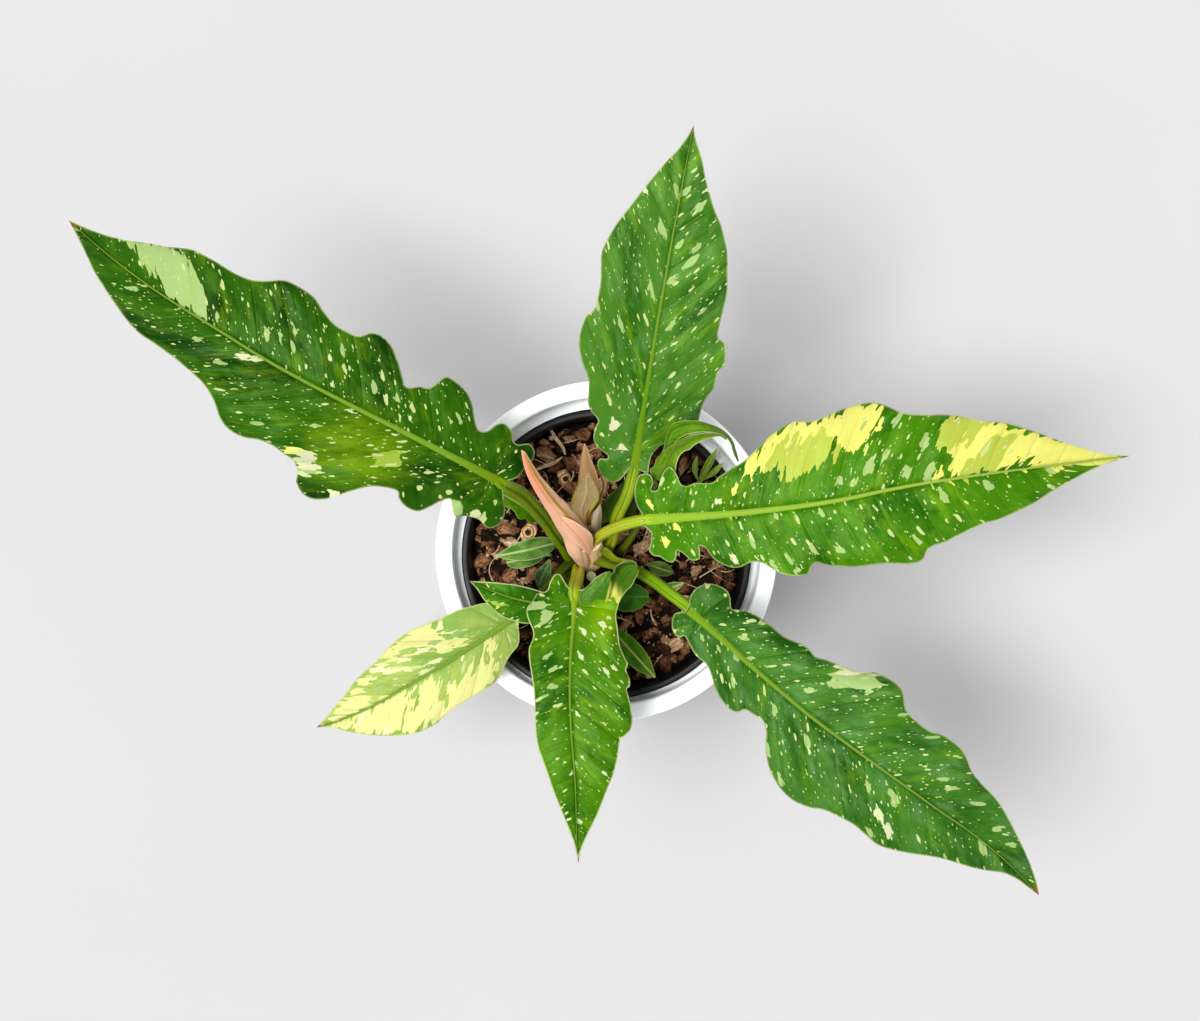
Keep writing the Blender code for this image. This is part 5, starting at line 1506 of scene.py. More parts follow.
WEST = Blade(
    name="west", foot=(-50.7, 33.9), heading=148.7, foot_half_width=2.5,
    spine=[(0, 250), (30, 264), (70, 278), (110, 284), (150, 282), (190, 272), (220, 260), (256, 243)],
    rib=[
        (0, -0.5), (20, 0.5), (50, 2.5), (80, 4.8), (110, 6.8), (130, 7.5), (160, 7.2), (190, 7.0),
        (215, 5.5), (235, 3.2), (256, 0),
    ],
    left=[
        (-3, 6), (-7, 12), (-7, 19), (-3, 22.5), (2, 21), (8, 22.5), (13, 25.5), (17, 22), (19.5, 19.5),
        (23, 23), (26, 28), (30, 33), (36, 34), (41, 32), (43, 29.5), (48, 30.5), (55, 34), (62, 41),
        (70, 50), (76, 54), (82, 54.5), (87, 51), (89, 46), (93, 42.5), (98, 42), (105, 41.5), (112, 42.5),
        (120, 45.5), (128, 46), (134, 43.5), (141, 37.5), (149, 33.5), (158, 31.5), (170, 30), (182, 29.3),
        (191, 28.8), (200, 26.7), (210, 23), (220, 19), (230, 14.5), (240, 8.5), (250, 3),
    ],
    right=[
        (-3, -7), (-4, -14), (-5, -19), (-3, -23), (1, -24), (5, -21), (8, -21.5), (11, -25), (16, -26.5),
        (19, -24), (21, -19), (25, -17), (29, -20), (34, -26), (40, -30), (48, -31.5), (52, -30.5),
        (54, -25), (56, -21.5), (60, -20), (65, -16.5), (69, -19.5), (75, -25), (82, -30), (88, -31.5),
        (93, -30), (97, -25.5), (103, -24.5), (110, -24.5), (118, -27), (126, -30.5), (135, -31),
        (142, -30), (149, -25.5), (156, -22), (165, -20.5), (176, -20.5), (188, -20), (195, -17.5),
        (203, -14), (212, -11), (222, -7), (232, -4), (242, -2), (250, -0.8),
    ],
    finish=LeafFinish(
        "west", (10, 62, 0), (44, 102, 0), (80, 134, 28), (122, 166, 2), rib_foot=(128, 164, 10),
        rib=(138, 184, 48), seed=1.0,
    ),
    veins=(38, 35, 58, 50), wave_start=(0.02, 0.1),
    zones={
        Tint.SAGE: (
            (
                (225.5, -6.8), (216.7, -10.2), (198.4, -15.7), (192.7, -15.0), (185.5, -11.6),
                (178.3, -8.1), (171.4, -3.6), (161.9, 5.9), (158.9, 6.0), (183.9, 6.5), (190.7, 3.8),
                (197.2, 1.8), (204.2, -1.0), (212.5, -4.0), (219.9, -5.6),
            ),
        ),
        Tint.LIME: (((61.4, 20.1), (52.8, 10.5), (48.8, 15.5), (48.8, 20.8), (56.9, 22.6)),),
        Tint.GLOW: (
            (
                (84.7, 10.2), (88.3, 25.0), (84.7, 39.6), (62.1, 36.3), (48.9, 24.0), (49.9, 11.9),
                (68.1, 5.2),
            ),
        ),
    },
    flecks={
        Tint.SAGE: (
            (160.3, 2.2, 5, 2.4), (135.7, -4.0, 6, 2.4), (128.3, -5.7, 5, 2.4), (125, -11.9, 6, 2.6),
            (206.4, 12.2, 7, 2.6), (162.7, 16.3, 6, 2.4), (148.9, 20.9, 7, 2.6), (65.3, -9.1, 4, 2),
            (36, -16.9, 4, 2), (92.7, 21.9, 5, 2), (85.5, 44, 12, 4.5), (92, 37.5, 6, 3),
        ),
        Tint.CREAM: (
            (140, 12, 7, 3.4), (134, 9.8, 6, 3), (4.3, 19.1, 4, 2), (57.1, 5.8, 4, 2), (81.4, 7.1, 4, 2),
            (55.8, -5.1, 3, 1.8), (89.3, 36.7, 8, 5), (88.4, 39.6, 7, 5), (85.1, 41.3, 9, 4),
            (85.7, 45.6, 4, 4.5), (68, 46, 4, 3),
        ),
        Tint.YELLOW: ((94.4, 37.9, 9, 5),),
    },
)

EAST = Blade(
    name="east", foot=(18.3, 16.4), heading=7.5, foot_half_width=2.9,
    spine=[(0, 236), (30, 247), (70, 258), (110, 263), (150, 261), (190, 252), (220, 241), (249, 228)],
    rib=[
        (0, 0.5), (20, -0.7), (40, -1.9), (60, -2.5), (80, -2.7), (100, -2.1), (120, -0.5), (140, 0.5),
        (170, 1), (200, 1), (220, 0.8), (249, 0.5),
    ],
    left=[
        (-2, 8), (-2.5, 15), (0, 22), (3, 23.5), (6.5, 22.5), (7.5, 18.5), (6, 15), (9, 14.5), (11, 19),
        (13.5, 23.5), (17, 25), (19.5, 21), (21, 16), (24, 14.5), (28, 15.5), (36, 14.5), (40, 17),
        (46, 20), (53, 23), (60, 28), (68, 34), (76, 38), (80, 39.2), (88, 38), (95, 39.5), (104, 42),
        (112, 43.5), (120, 43.5), (126, 41), (132, 37), (138, 35), (146, 33.8), (154, 33), (162, 31),
        (172, 27.5), (180, 26), (190, 23), (200, 18.5), (210, 13.5), (220, 9), (230, 5), (240, 2),
    ],
    right=[
        (3, -6.5), (2.5, -11), (1, -15), (3, -18), (6, -19), (9, -21.5), (12, -22.5), (14, -20), (15, -17),
        (18, -19), (21, -22.5), (25, -22.5), (26, -19), (26, -16), (29, -17.5), (33, -24), (40, -28.5),
        (45, -29), (49, -27.5), (54, -27.5), (58, -30), (63, -34), (70, -36.5), (77, -36.5), (79, -33),
        (82, -31.5), (87, -33.5), (94, -35), (102, -36), (110, -36), (118, -36.5), (127, -38), (134, -37),
        (138, -31.5), (146, -29.7), (155, -26.5), (165, -23.5), (175, -22), (185, -19.5), (195, -16),
        (205, -11.5), (215, -8), (225, -4.5), (235, -2), (243, -0.5),
    ],
    finish=LeafFinish(
        "east", (34, 102, 0), (74, 142, 2), (104, 162, 40), (140, 190, 6), rib_foot=(172, 210, 50),
        rib=(166, 206, 62), rib_end=(178, 210, 84), lime=(204, 218, 84), tear=8.0, seed=2.0,
    ),
    veins=(76, 42, 78, 45), wave_start=(0.3, 0.8), left_lift=3.0,
    zones={
        Tint.YELLOW: (
            (
                (59.8, 27.9), (74.0, 36.7), (80.1, 39.5), (89.8, 38.2), (105.0, 42.3), (119.1, 43.4),
                (126.2, 40.8), (113.2, 23.9), (103.8, 21.1), (98.9, 26.7), (92.0, 17.7), (86.6, 14.3),
                (78.8, 10.4), (72.5, 12.9), (69.2, 18.3), (63.3, 16.6), (53.3, 15.5), (54.0, 20.4),
            ),
            (
                (160.9, 31.3), (154.1, 29.1), (151.2, 24.1), (149.8, 17.2), (152.8, 12.3), (146.6, 6.9),
                (145.0, 1.8), (174.4, 2.0), (198.9, 2.0), (206.3, -0.2), (234.4, -2.8), (249.9, 0.3),
                (231.4, 3.9), (209.3, 14.2), (187.7, 24.0), (174.3, 28.4),
            ),
        ),
        Tint.LIME: (
            (
                (73.1, 29.3), (81.7, 33.1), (89.3, 28.8), (94.0, 33.1), (98.3, 22.6), (92.0, 17.7),
                (86.6, 14.3), (78.8, 10.4), (72.5, 12.9), (69.2, 18.3), (63.3, 16.6), (62.2, 20.9),
            ),
            (
                (154.1, 29.1), (174.2, 27.5), (168.0, 22.9), (159.8, 16.8), (153.8, 13.1), (150.2, 17.1),
                (151.2, 24.1),
            ),
            (
                (187.1, 19.6), (191.3, 16.4), (183.9, 10.2), (174.5, 2.4), (157.8, 1.9), (166.5, 11.5),
                (175.6, 17.5),
            ),
        ),
    },
    flecks={
        Tint.SAGE: (
            (142.2, 20.8, 8, 4), (131.4, 7.1, 8, 4), (142.5, 6.6, 9, 4.4), (113.4, 12.2, 9, 5),
            (132.3, -26.7, 6, 3), (147.5, -6.5, 8, 4), (170.8, -4.2, 7, 4), (204.2, -1.3, 6, 3),
            (203.2, -8.4, 5, 2.6), (105, 5.2, 5, 3), (97.9, 7, 6, 3), (121.7, 15.8, 7, 3),
            (94.3, -26.8, 6, 3), (81.1, -25.5, 6, 3), (60.6, -29.5, 5, 2.6), (72.1, -34.2, 5, 2.6),
            (87.2, -6.4, 5, 2.4), (65.2, -6, 5, 2.4),
        ),
        Tint.YELLOW: ((16.1, -5.5, 4, 3), (9.5, -11.3, 6, 4), (46.8, 9.3, 5, 3), (4.8, 6.9, 6, 4)),
        Tint.CREAM: ((42.4, -24.7, 5, 3), (38, 5, 4, 2.4)),
    },
)

NORTH = Blade(
    name="north", foot=(15.7, 42.0), heading=81.0, foot_half_width=2.4,
    spine=[(0, 243), (30, 262), (60, 277), (90, 288), (120, 295), (150, 298), (166, 297)],
    rib=[(0, 2), (30, 2.2), (70, 2.3), (90, 2), (110, 1.8), (130, 1.3), (150, 0.8), (166, 0.3)],
    left=[
        (-3, 6), (-7, 9), (-8, 13), (-5, 18), (-1, 20.5), (2.5, 20), (3, 16.5), (5, 16.5), (8, 22),
        (12, 24.5), (17, 24.5), (21, 23.7), (25, 28), (29, 30), (34, 30.5), (40, 31.5), (46, 35), (53, 38),
        (60, 39), (66, 38), (70, 36.5), (72.5, 34), (78, 33), (86, 32.7), (93, 33.6), (100, 34.4),
        (107, 32.5), (114, 29.5), (122, 25), (130, 20.5), (138, 16), (146, 11), (154, 5.5), (161, 2),
    ],
    right=[
        (-1, -5), (3, -5), (8, -5.5), (13, -8.5), (17, -14), (20, -20), (23, -24.5), (27, -25.5),
        (35, -26), (40, -27.5), (45, -30), (52, -30.5), (56, -33), (61, -33), (67, -31.5), (69, -28),
        (73, -27.5), (80, -28), (90, -28.5), (100, -27), (110, -25), (120, -21), (128, -16), (136, -12),
        (143, -9), (150, -6.5), (157, -3), (163, -0.5),
    ],
    finish=LeafFinish(
        "north", (40, 102, 10), (80, 140, 38), (114, 166, 86), (136, 188, 22), rib_foot=(134, 174, 20),
        rib=(112, 162, 14), rib_end=(132, 178, 54), seed=3.0,
    ),
    veins=(40, 38, 50, 50), wave_start=(0.6, 0.2), right_lift=-1.5,
    flecks={
        Tint.SAGE: (
            (134.6, -1.3, 8, 3), (133.9, 3.1, 6, 3), (127.3, -8.3, 8, 3.6), (114.7, 7.2, 9, 4),
            (86, 7.7, 7, 3), (91.8, -1.2, 6, 3), (71.3, -4.6, 6, 3), (67.6, 19.8, 5, 2.4),
            (108.5, -10.2, 7, 3), (108.4, -1.7, 5, 3),
        ),
        Tint.CREAM: ((136.9, -12, 6, 2.4), (132.7, 18.5, 6, 2), (19.5, 15.5, 5, 2.6), (9.5, 9.5, 6, 3)),
    },
)

SOUTHEAST = Blade(
    name="southeast", foot=(41.3, -27.3), heading=-39.4, foot_half_width=2.3,
    spine=[(0, 226), (30, 236), (70, 246), (110, 250), (150, 247), (190, 237), (232, 220)],
    rib=[
        (0, -1), (20, -1.5), (40, -2.5), (60, -3), (80, -3.2), (100, -2.3), (120, -1.2), (140, 0),
        (160, 1.2), (180, 2.8), (200, 3), (215, 2), (232, 0),
    ],
    left=[
        (-2, 3.4), (-3, 9), (-1, 14), (3, 17.5), (9, 19), (13, 17.5), (17, 13.5), (20, 15), (24, 17.5),
        (30, 18.8), (38, 19.3), (46, 19.3), (52, 21), (58, 22.5), (64, 21.5), (70, 24), (78, 26.5),
        (85, 29), (92, 34), (98, 36), (104, 36.5), (109, 35), (113, 31), (117, 29), (125, 28.5), (132, 29),
        (138, 31.5), (147, 32.3), (153, 31), (160, 27), (168, 25.3), (180, 24), (190, 21), (200, 17),
        (210, 12.8), (218, 9), (226, 4.5),
    ],
    right=[
        (-2, -5), (-3, -8), (0, -13), (4, -15), (6.5, -14.5), (8, -12.5), (12, -14), (18, -16.3),
        (25, -16.5), (30, -19), (36, -23), (42, -25.5), (48, -26.3), (52, -25), (54, -21.5), (60, -20.5),
        (64, -20), (69, -23.5), (73, -29), (80, -35.5), (88, -39.5), (96, -41.2), (103, -41), (110, -38.5),
        (116, -35), (125, -32.5), (131, -31.3), (140, -31.5), (147, -31.7), (155, -29), (162, -25.5),
        (172, -19.5), (180, -15.5), (190, -12), (200, -7.5), (208, -3), (216, -0.8), (225, -0.4),
    ],
    finish=LeafFinish("southeast", (28, 88, 12), (66, 128, 34), (110, 160, 96), (116, 168, 20), seed=4.0),
    veins=(52, 45, 50, 45), wave_start=(0.85, 0.4),
    zones={
        Tint.SAGE: (
            (
                (72, 18), (77, 22), (74, 26), (82, 28.5), (92, 34), (99, 36), (97, 29), (93, 22), (86, 19),
                (78, 15),
            ),
        ),
        Tint.CREAM: (((72, 25), (77, 26.5), (84, 29.5), (92, 34), (86, 29), (81, 25), (76, 23)),),
    },
    flecks={
        Tint.SAGE: (
            (30.4, 5.7, 5, 2.4), (33.4, -3.6, 5, 2.4), (24.3, -6.8, 5, 2.4), (15.3, -7.9, 4, 2.4),
            (40.2, 0.2, 4, 2.4), (72.6, 7.5, 6, 3), (74.2, -29.2, 6, 3), (89.4, -37.4, 5, 2.6),
            (33.5, 17.4, 5, 2.4), (65.1, -12.4, 6, 2.6), (137.9, -8, 9, 4), (124.9, -12.2, 7, 3),
            (189.5, 2, 12, 5), (139.9, -29.1, 7, 3), (151, 13.9, 6, 3), (157.8, 13.8, 6, 3),
            (174, 16, 8, 3.4), (191.1, 12.9, 6, 3), (201.9, 11, 6, 3), (179.1, -15.5, 5, 2.4),
        ),
        Tint.CREAM: ((82.8, 26.4, 7, 3), (138.8, -20, 9, 4), (147.6, -22.9, 8, 3.4)),
    },
)

SOUTH = Blade(
    name="south", foot=(-16.7, -19.2), heading=-88.9, foot_half_width=1.8,
    spine=[(0, 210), (30, 219), (60, 225), (90, 226), (120, 221), (140, 213)],
    rib=[
        (0, 0), (15, -0.5), (30, -2), (45, -2.8), (60, -3), (75, -2.5), (90, -1.5), (105, -1), (130, -1),
        (140, -0.5),
    ],
    left=[
        (-1, 6), (-6, 11), (-9, 17), (-7, 19), (-12, 22), (-15, 28), (-13, 32.5), (-7, 32), (-2, 27.5),
        (3, 24.5), (10, 22), (14, 21.3), (20, 22), (28, 22.8), (34, 25), (38, 26.8), (41, 25.8),
        (45, 27.5), (49, 27.5), (50.5, 26), (55, 27), (60, 28), (67, 28.5), (72, 27), (76, 22.5),
        (80, 21.5), (86, 20.5), (93, 18.5), (100, 15.5), (108, 12.5), (116, 9), (124, 5), (132, 1.5),
    ],
    right=[
        (-4, -4.6), (-8, -7), (-8, -10), (-4, -12.5), (0, -14), (1.5, -19), (5, -21.5), (9, -24.5),
        (14, -24), (20, -21.5), (24, -21.5), (29, -23.5), (35, -23.5), (42, -22.5), (50, -21.5), (60, -21),
        (70, -21), (78, -20), (86, -17.5), (95, -14.5), (103, -12), (111, -9), (119, -6), (127, -3),
        (134, -1.5),
    ],
    finish=LeafFinish(
        "south", (26, 92, 0), (76, 138, 0), (98, 154, 40), (144, 194, 0), rib_foot=(166, 194, 40),
        seed=5.0, margin_share=0.9,
    ),
    veins=(55, 55, 75, 60), wave=1.6, wave_start=(0.1, 0.7), left_lift=1.2,
    zones={
        Tint.GLOW: (((-8, 8), (20, 10), (30, 14), (20, 20), (-10, 26)),),
        Tint.SAGE: (
            (
                (6, -21.5), (4.6, -19), (5, -14.5), (7.6, -12.4), (11.2, -11), (14.2, -12), (15.8, -15),
                (12.8, -17.6), (10.7, -20.8), (8.7, -22.6),
            ),
        ),
    },
    flecks={
        Tint.SAGE: ((40, -11.6, 5, 3), (33, -13.6, 5, 3), (48.5, -11.8, 5, 3)),
        Tint.CREAM: (
            (17.6, 14, 5, 2.4), (21.4, 4.3, 4, 2.2), (41, 15.5, 4, 2.2), (33.8, 3.1, 4, 2.2),
            (62.6, 0.6, 3, 2), (84.7, 3.2, 3, 2), (94, 15, 4, 2), (116.2, -3.5, 4, 2), (76, 22.4, 4, 2),
            (9.9, 2.5, 5, 2.6), (39.6, 19.6, 4, 2.2),
        ),
    },
)

SOUTHWEST = Blade(
    name="southwest", foot=(-45.8, -36.8), heading=-152.4, foot_half_width=2.4,
    spine=[(0, 186), (30, 191), (60, 192), (90, 187), (121, 176)],
    rib=[(0, -3.5), (10, -2), (20, -1), (40, 1), (60, 2), (80, 3.2), (95, 3.2), (110, 2), (121, 0)],
    left=[
        (0.6, 0.8), (1.5, 2), (3, 6), (6, 10.5), (11, 12.7), (15, 15), (19, 18), (24, 21.3), (30, 22.7),
        (38, 23), (45, 23.4), (52, 24), (57, 25.2), (61, 26.6), (68, 27), (75, 26.2), (83, 23.5), (92, 19),
        (100, 14.3), (108, 8.5), (114, 3.5),
    ],
    right=[
        (-1, -7), (3, -11), (8, -15), (12, -17.5), (18, -19), (25, -20.5), (35, -21), (45, -22),
        (53, -22.5), (61, -21.5), (68, -19.5), (76, -16.5), (84, -14.5), (92, -12), (99, -8.5),
        (107, -5.5), (114, -2.5),
    ],
    finish=LeafFinish(
        "southwest", (142, 186, 84), (162, 200, 92), (182, 212, 124), (210, 224, 112), margin_share=0.9,
        rib_foot=(150, 188, 60), rib=(128, 172, 50), flecks=1.3, tear=8.0, seed=6.0,
        margin=(226, 232, 150), yellow=(262, 257, 170), cream=(264, 260, 204), lime=(206, 226, 112),
        underside=(190, 204, 120), roughness=0.46,
    ),
    veins=(50, 48, 30, 30), wave=1.2, wave_start=(0.4, 0.9),
    zones={
        Tint.GLOW: (
            ((60, -20), (120, 0), (96, 16), (84, 4), (62, -4)), ((10, 5), (60, 10), (50, 24), (24, 20)),
        ),
        Tint.YELLOW: (
            (
                (37.6, -21.1), (50.1, -23.8), (59.7, -21.9), (67.4, -18.9), (74.0, -16.3), (66.9, -14.8),
                (59.0, -13.3), (52.7, -12.2), (46.6, -9.0), (42.3, -5.7), (34.5, -2.4), (28.1, -1.4),
                (33.5, -6.0), (38.7, -12.6), (44.4, -19.7),
            ),
            (
                (82.7, -12.5), (89.6, -10.3), (100.8, -6.3), (115.8, -0.6), (120.2, 0.8), (107.8, 1.5),
                (95.5, 2.3), (85.3, 3.1), (91.8, -6.2), (88.9, -10.0), (79.4, -9.5),
            ),
            (
                (22.6, 21.0), (33.1, 23.1), (44.8, 23.9), (56.1, 27.5), (71.3, 26.6), (86.5, 22.0),
                (97.8, 16.4), (111.0, 7.4), (120.2, 0.8), (108.2, 2.2), (99.5, 3.0), (83.5, 3.1),
                (72.6, 2.6), (64.7, 4.1), (71.7, 9.1), (77.4, 14.9), (76.9, 17.3), (68.3, 10.9),
                (61.5, 4.8), (52.3, 5.3), (50.3, 6.4), (55.2, 12.4), (57.3, 18.2), (52.5, 19.0),
                (43.5, 11.6), (38.7, 10.7), (38.1, 14.5), (34.0, 11.5), (26.4, 6.8), (19.7, 12.2),
                (25.3, 19.6),
            ),
            ((14.7, -0.8), (18.1, 0.0), (23.0, 6.9), (22.0, 10.0), (17.6, 6.4)),
        ),
        Tint.CREAM: (
            (
                (74.1, -14.6), (82.5, -12.8), (76.3, -10.4), (67.9, -6.3), (60.8, -4.8), (70.0, -9.0),
                (73.8, -11.8),
            ),
        ),
    },
    flecks={
        Tint.CREAM: (
            (48.7, -2.3, 6, 4), (54.1, 0.5, 7, 4), (62.1, -10.6, 7, 3), (81.2, -9.5, 4, 2.4),
            (51, -10.4, 8, 3), (33.5, -11.6, 4, 2.2), (37.4, -15.8, 3, 2), (88, 18.2, 6, 4),
            (96.7, 6.1, 9, 3), (63.4, 4.3, 4, 2), (47.1, 11.1, 3, 2), (34, 2.4, 4, 2), (110, -0.4, 5, 3),
        ),
    },
)

INNER = Blade(
    name="inner", foot=(-28.3, -26.9), heading=165.0, foot_half_width=1.6,
    spine=[(0, 193), (12, 198), (24, 200), (36, 198), (45, 194)],
    rib=[(0, 0.6), (12, 2), (25, 2), (35, 1), (45, -0.3)],
    left=[(2, 7), (9, 13), (20, 13.5), (27, 11.5), (34, 7.5), (40, 2.5)],
    right=[(3, -4), (10, -5), (20, -5), (27, -4), (33, -3), (40, -1.4)],
    finish=LeafFinish(
        "inner", (22, 88, 0), (54, 122, 2), (76, 138, 24), (112, 170, 6), tear=2.0, seed=7.0,
        margin_share=0.9,
    ),
    veins=(55, 50, 55, 50), wave=0.6, cell=0.9,
    zones={Tint.LIME: (((35.5, 6.5), (22.1, 6.2), (27.2, 8.5)),)},
)

BLADES = (WEST, EAST, NORTH, SOUTHEAST, SOUTH, SOUTHWEST, INNER)


# Stalks, sheaths and small leaves

def rounded(section: Sequence[Pair], steps: int) -> np.ndarray:
    """Smooth a closed section with more corners."""
    return smooth_path([section[-1], *section, *section[:2]], steps)[steps:-2 * steps]


STALK_SECTION = rounded((
    (1.0, 0.0), (0.8, 0.62), (0.36, 0.82), (0.0, 0.5), (-0.36, 0.82),
    (-0.8, 0.62), (-1.0, 0.0), (-0.7, -0.7), (0.0, -1.0), (0.7, -0.7),
), 4)
STALK_SINK = 3.0
STALK_OVERLAP = 1.8
MOST_DEPTH = 1.4
LEAF_GROOVE = 0.5
LEAF_GROOVE_WIDTH = 0.12


def leaf_section(count: int) -> np.ndarray:
    """A thin lens of corners, with a shallow groove along its upper face."""
    sideways = np.cos(np.linspace(0, math.pi, count))
    thick = np.sqrt(np.maximum(1 - sideways ** 2, 0.0)) ** 0.5
    groove = LEAF_GROOVE * np.exp(-(sideways / LEAF_GROOVE_WIDTH) ** 2)
    upper = np.stack([sideways, thick - groove], axis=-1)
    lower = np.stack([sideways[::-1], -thick[::-1]], axis=-1)[1:-1]
    return np.vstack([upper, lower])


@dataclass
class Stalk:
    """A grooved leaf stalk from the crown to the foot of its blade."""

    name: str
    corners: list[Triple]
    heading: float
    half_width: float
    half_height: float
    finish: StalkFinish
    foot_share: float = 1.15
    foot_reach: float = 0.35

    def build(self) -> None:
        """Make the stalk, run into the crown and into its blade's rib."""
        corners = np.array(self.corners, float)
        first, last = corners[0] - corners[1], corners[-1] - corners[-2]
        end = corners[-1] + last / np.linalg.norm(last) * STALK_OVERLAP
        for blade in BLADES:
            if blade.name == self.name:
                end = np.array(blade.join(self.half_height * JOIN_SHARE))
        corners = np.vstack([corners[0] + first / np.linalg.norm(first) * STALK_SINK, corners, end])
        lengths = np.linalg.norm(np.diff(corners, axis=0), axis=1)
        places = (0, self.foot_reach, 1 - lengths[-1] / lengths.sum(), 1)
        shares = (self.foot_share, 1, 1, JOIN_SHARE)
        widths, heights = (
            [(place, share * size) for place, share in zip(places, shares)]
            for size in (self.half_width, self.half_height)
        )
        form = Form("leaf_stalk_" + self.name)
        form.grown(Run(corners, STALK_SECTION, widths, heights, level_across(self.heading), 8))
        form.build(self.finish.make(), "stalk", ["stalk_" + self.name], 70)


@dataclass
class Growth:
    """A stub or strand that stands on the crown."""

    name: str
    node: str
    slot: str
    corners: list[Triple]
    section: np.ndarray
    widths: list[Pair]
    heights: list[Pair]
    heading: float
    finish: SheathFinish

    def build(self) -> None:
        """Make the piece."""
        form, across = Form(self.name), level_across(self.heading)
        form.grown(Run(self.corners, self.section, self.widths, self.heights, across, 10))
        form.build(self.finish.make(), self.slot, [self.node], 60)


@dataclass
class Sheet:
    """A sheath, flap or lobe: a sheet between two edges, arched across.

    left and right are the edges' corners from foot to tip. arch gives the sheet's rise over the line
    between the edges, and depth its thickness in the middle, both by place: arch from the right edge
    at -1 to the left at 1, in half widths; depth from foot to tip, in millimetres.
    """

    name: str
    slot: str
    left: list[Triple]
    right: list[Triple]
    arch: list[Pair]
    depth: list[Pair]
    finish: SheathFinish
    nodes: tuple[str, ...] = ()
    rows: int = 60
    columns: int = 33

    def even(self, corners: Sequence[Triple]) -> np.ndarray:
        """A smooth path through corners, with one evenly spaced place for each row of the sheet."""
        path = smooth_path(corners, 8)
        lengths = lengths_along(path)
        stations = np.linspace(0, lengths[-1], self.rows)
        return np.stack([np.interp(stations, lengths, path[:, axis]) for axis in range(3)], axis=-1)

    def build(self) -> None:
        """Make the sheet."""
        left, right = self.even(self.left), self.even(self.right)
        middle, across = (left + right) / 2, (left - right) / 2
        half = np.linalg.norm(across, axis=1)
        upward = np.cross(np.gradient(middle, axis=0), across)
        upward /= np.linalg.norm(upward, axis=1)[:, None]
        side = np.cos(np.linspace(0, math.pi, self.columns))
        rise = half[:, None] * value_at(self.arch, side)
        depth = np.minimum(value_at(self.depth, np.linspace(0, 1, self.rows)), half * MOST_DEPTH)
        thick = depth[:, None] * np.sqrt(np.maximum(1 - side ** 2, 0))
        upper = middle[:, None] + across[:, None] * side[:, None] + rise[..., None] * upward[:, None]
        lower = (upper - thick[..., None] * upward[:, None])[:, 1:-1][:, ::-1]
        sideways = np.concatenate([side, side[1:-1][::-1]])
        reach = half[:, None] * sideways
        along = np.broadcast_to(lengths_along(middle)[:, None], reach.shape)
        form = Form(self.name)
        form.tube(
            np.concatenate([upper, lower], axis=1),
            grain=np.stack([along, reach, np.zeros(reach.shape)], axis=-1), share=along / along[-1],
            sideways=np.broadcast_to(sideways, reach.shape), rib=np.abs(reach),
            upper=np.broadcast_to(np.arange(len(sideways)) < self.columns, reach.shape),
            edge=half[:, None] - np.abs(reach),
        )
        form.build(self.finish.make(), self.slot, self.nodes, 60)


@dataclass
class SmallLeaf:
    """A small leaf on its own stalk, rooted in the mix at its foot.

    corners lead from the foot to the tip, and widths are (share of the path, half width) pairs.
    """

    name: str
    foot: Pair
    corners: list[Triple]
    widths: list[Pair]
    finish: SmallLeafFinish
    stalk_radius: float = 0.9
    half_thickness: float = 0.4
    curl: float = 0.15
    sink: float = 7.0
    ground: float = 140.0
    clear_of_ground: float = 3.0
    thinning: float = 0.15
    rooted: bool = True

    def add_to(self, form: Form) -> None:
        """Add the leaf and its stalk to a form."""
        root = [(*self.foot, self.ground + rise) for rise in (-self.sink, self.clear_of_ground)]
        corners = (root if self.rooted else []) + self.corners
        wide = self.widths[0][0]
        widths = [(0, self.stalk_radius)] + self.widths
        heights = [(0, self.stalk_radius), (wide, self.stalk_radius)]
        heights += [(min(wide + self.thinning, 0.9), self.half_thickness), (1, self.half_thickness)]
        reach_x, reach_y, _ = np.subtract(corners[-1], corners[0])
        across = level_across(math.degrees(math.atan2(reach_y, reach_x)))
        form.grown(Run(corners, leaf_section(17), widths, heights, across, 12, self.curl))

    def build(self) -> None:
        """Make the leaf."""
        form = Form("plantlet_" + self.name)
        self.add_to(form)
        form.build(self.finish.make(), "small_leaf", [self.name], 70)


@dataclass
class Seedling:
    """A spiky seedling: narrow blades from one stalk."""

    foot: Pair = (50.5, 37.1)
    stalk_radius: float = 1.3
    tip_half_width: float = 0.35
    blades: tuple[tuple[list[Triple], float, bool], ...] = (
        ([(51.6, 40.0, 154), (54.1, 45.9, 166), (58.3, 54.1, 178)], 1.9, True),
        ([(50.7, 37.8, 146), (54.4, 39.8, 154), (58.2, 42.9, 161), (62.0, 47.0, 164)], 1.5, False),
        ([(50.7, 37.6, 145), (48.4, 40.4, 153), (47.2, 45.0, 162), (48.0, 50.2, 168)], 1.4, False),
        ([(50.7, 37.6, 145), (53.4, 43.0, 156), (57.0, 49.4, 167)], 0.9, False),
    )
    finish: SmallLeafFinish = SmallLeafFinish(
        "seedling", (84, 150, 10), (150, 210, 50), (190, 226, 90), (196, 228, 110), stripes=0.3,
    )

    def build(self) -> None:
        """Make the seedling."""
        form = Form("seedling_shoot")
        for corners, half, rooted in self.blades:
            radius = self.stalk_radius * (1 if rooted else 0.6)
            widths = [(0.35, radius), (0.6, half), (0.8, half), (1, self.tip_half_width)]
            SmallLeaf("shoot", self.foot, corners, widths, self.finish, radius, rooted=rooted).add_to(form)
        form.build(self.finish.make(), "small_leaf", ["seedling"], 70)


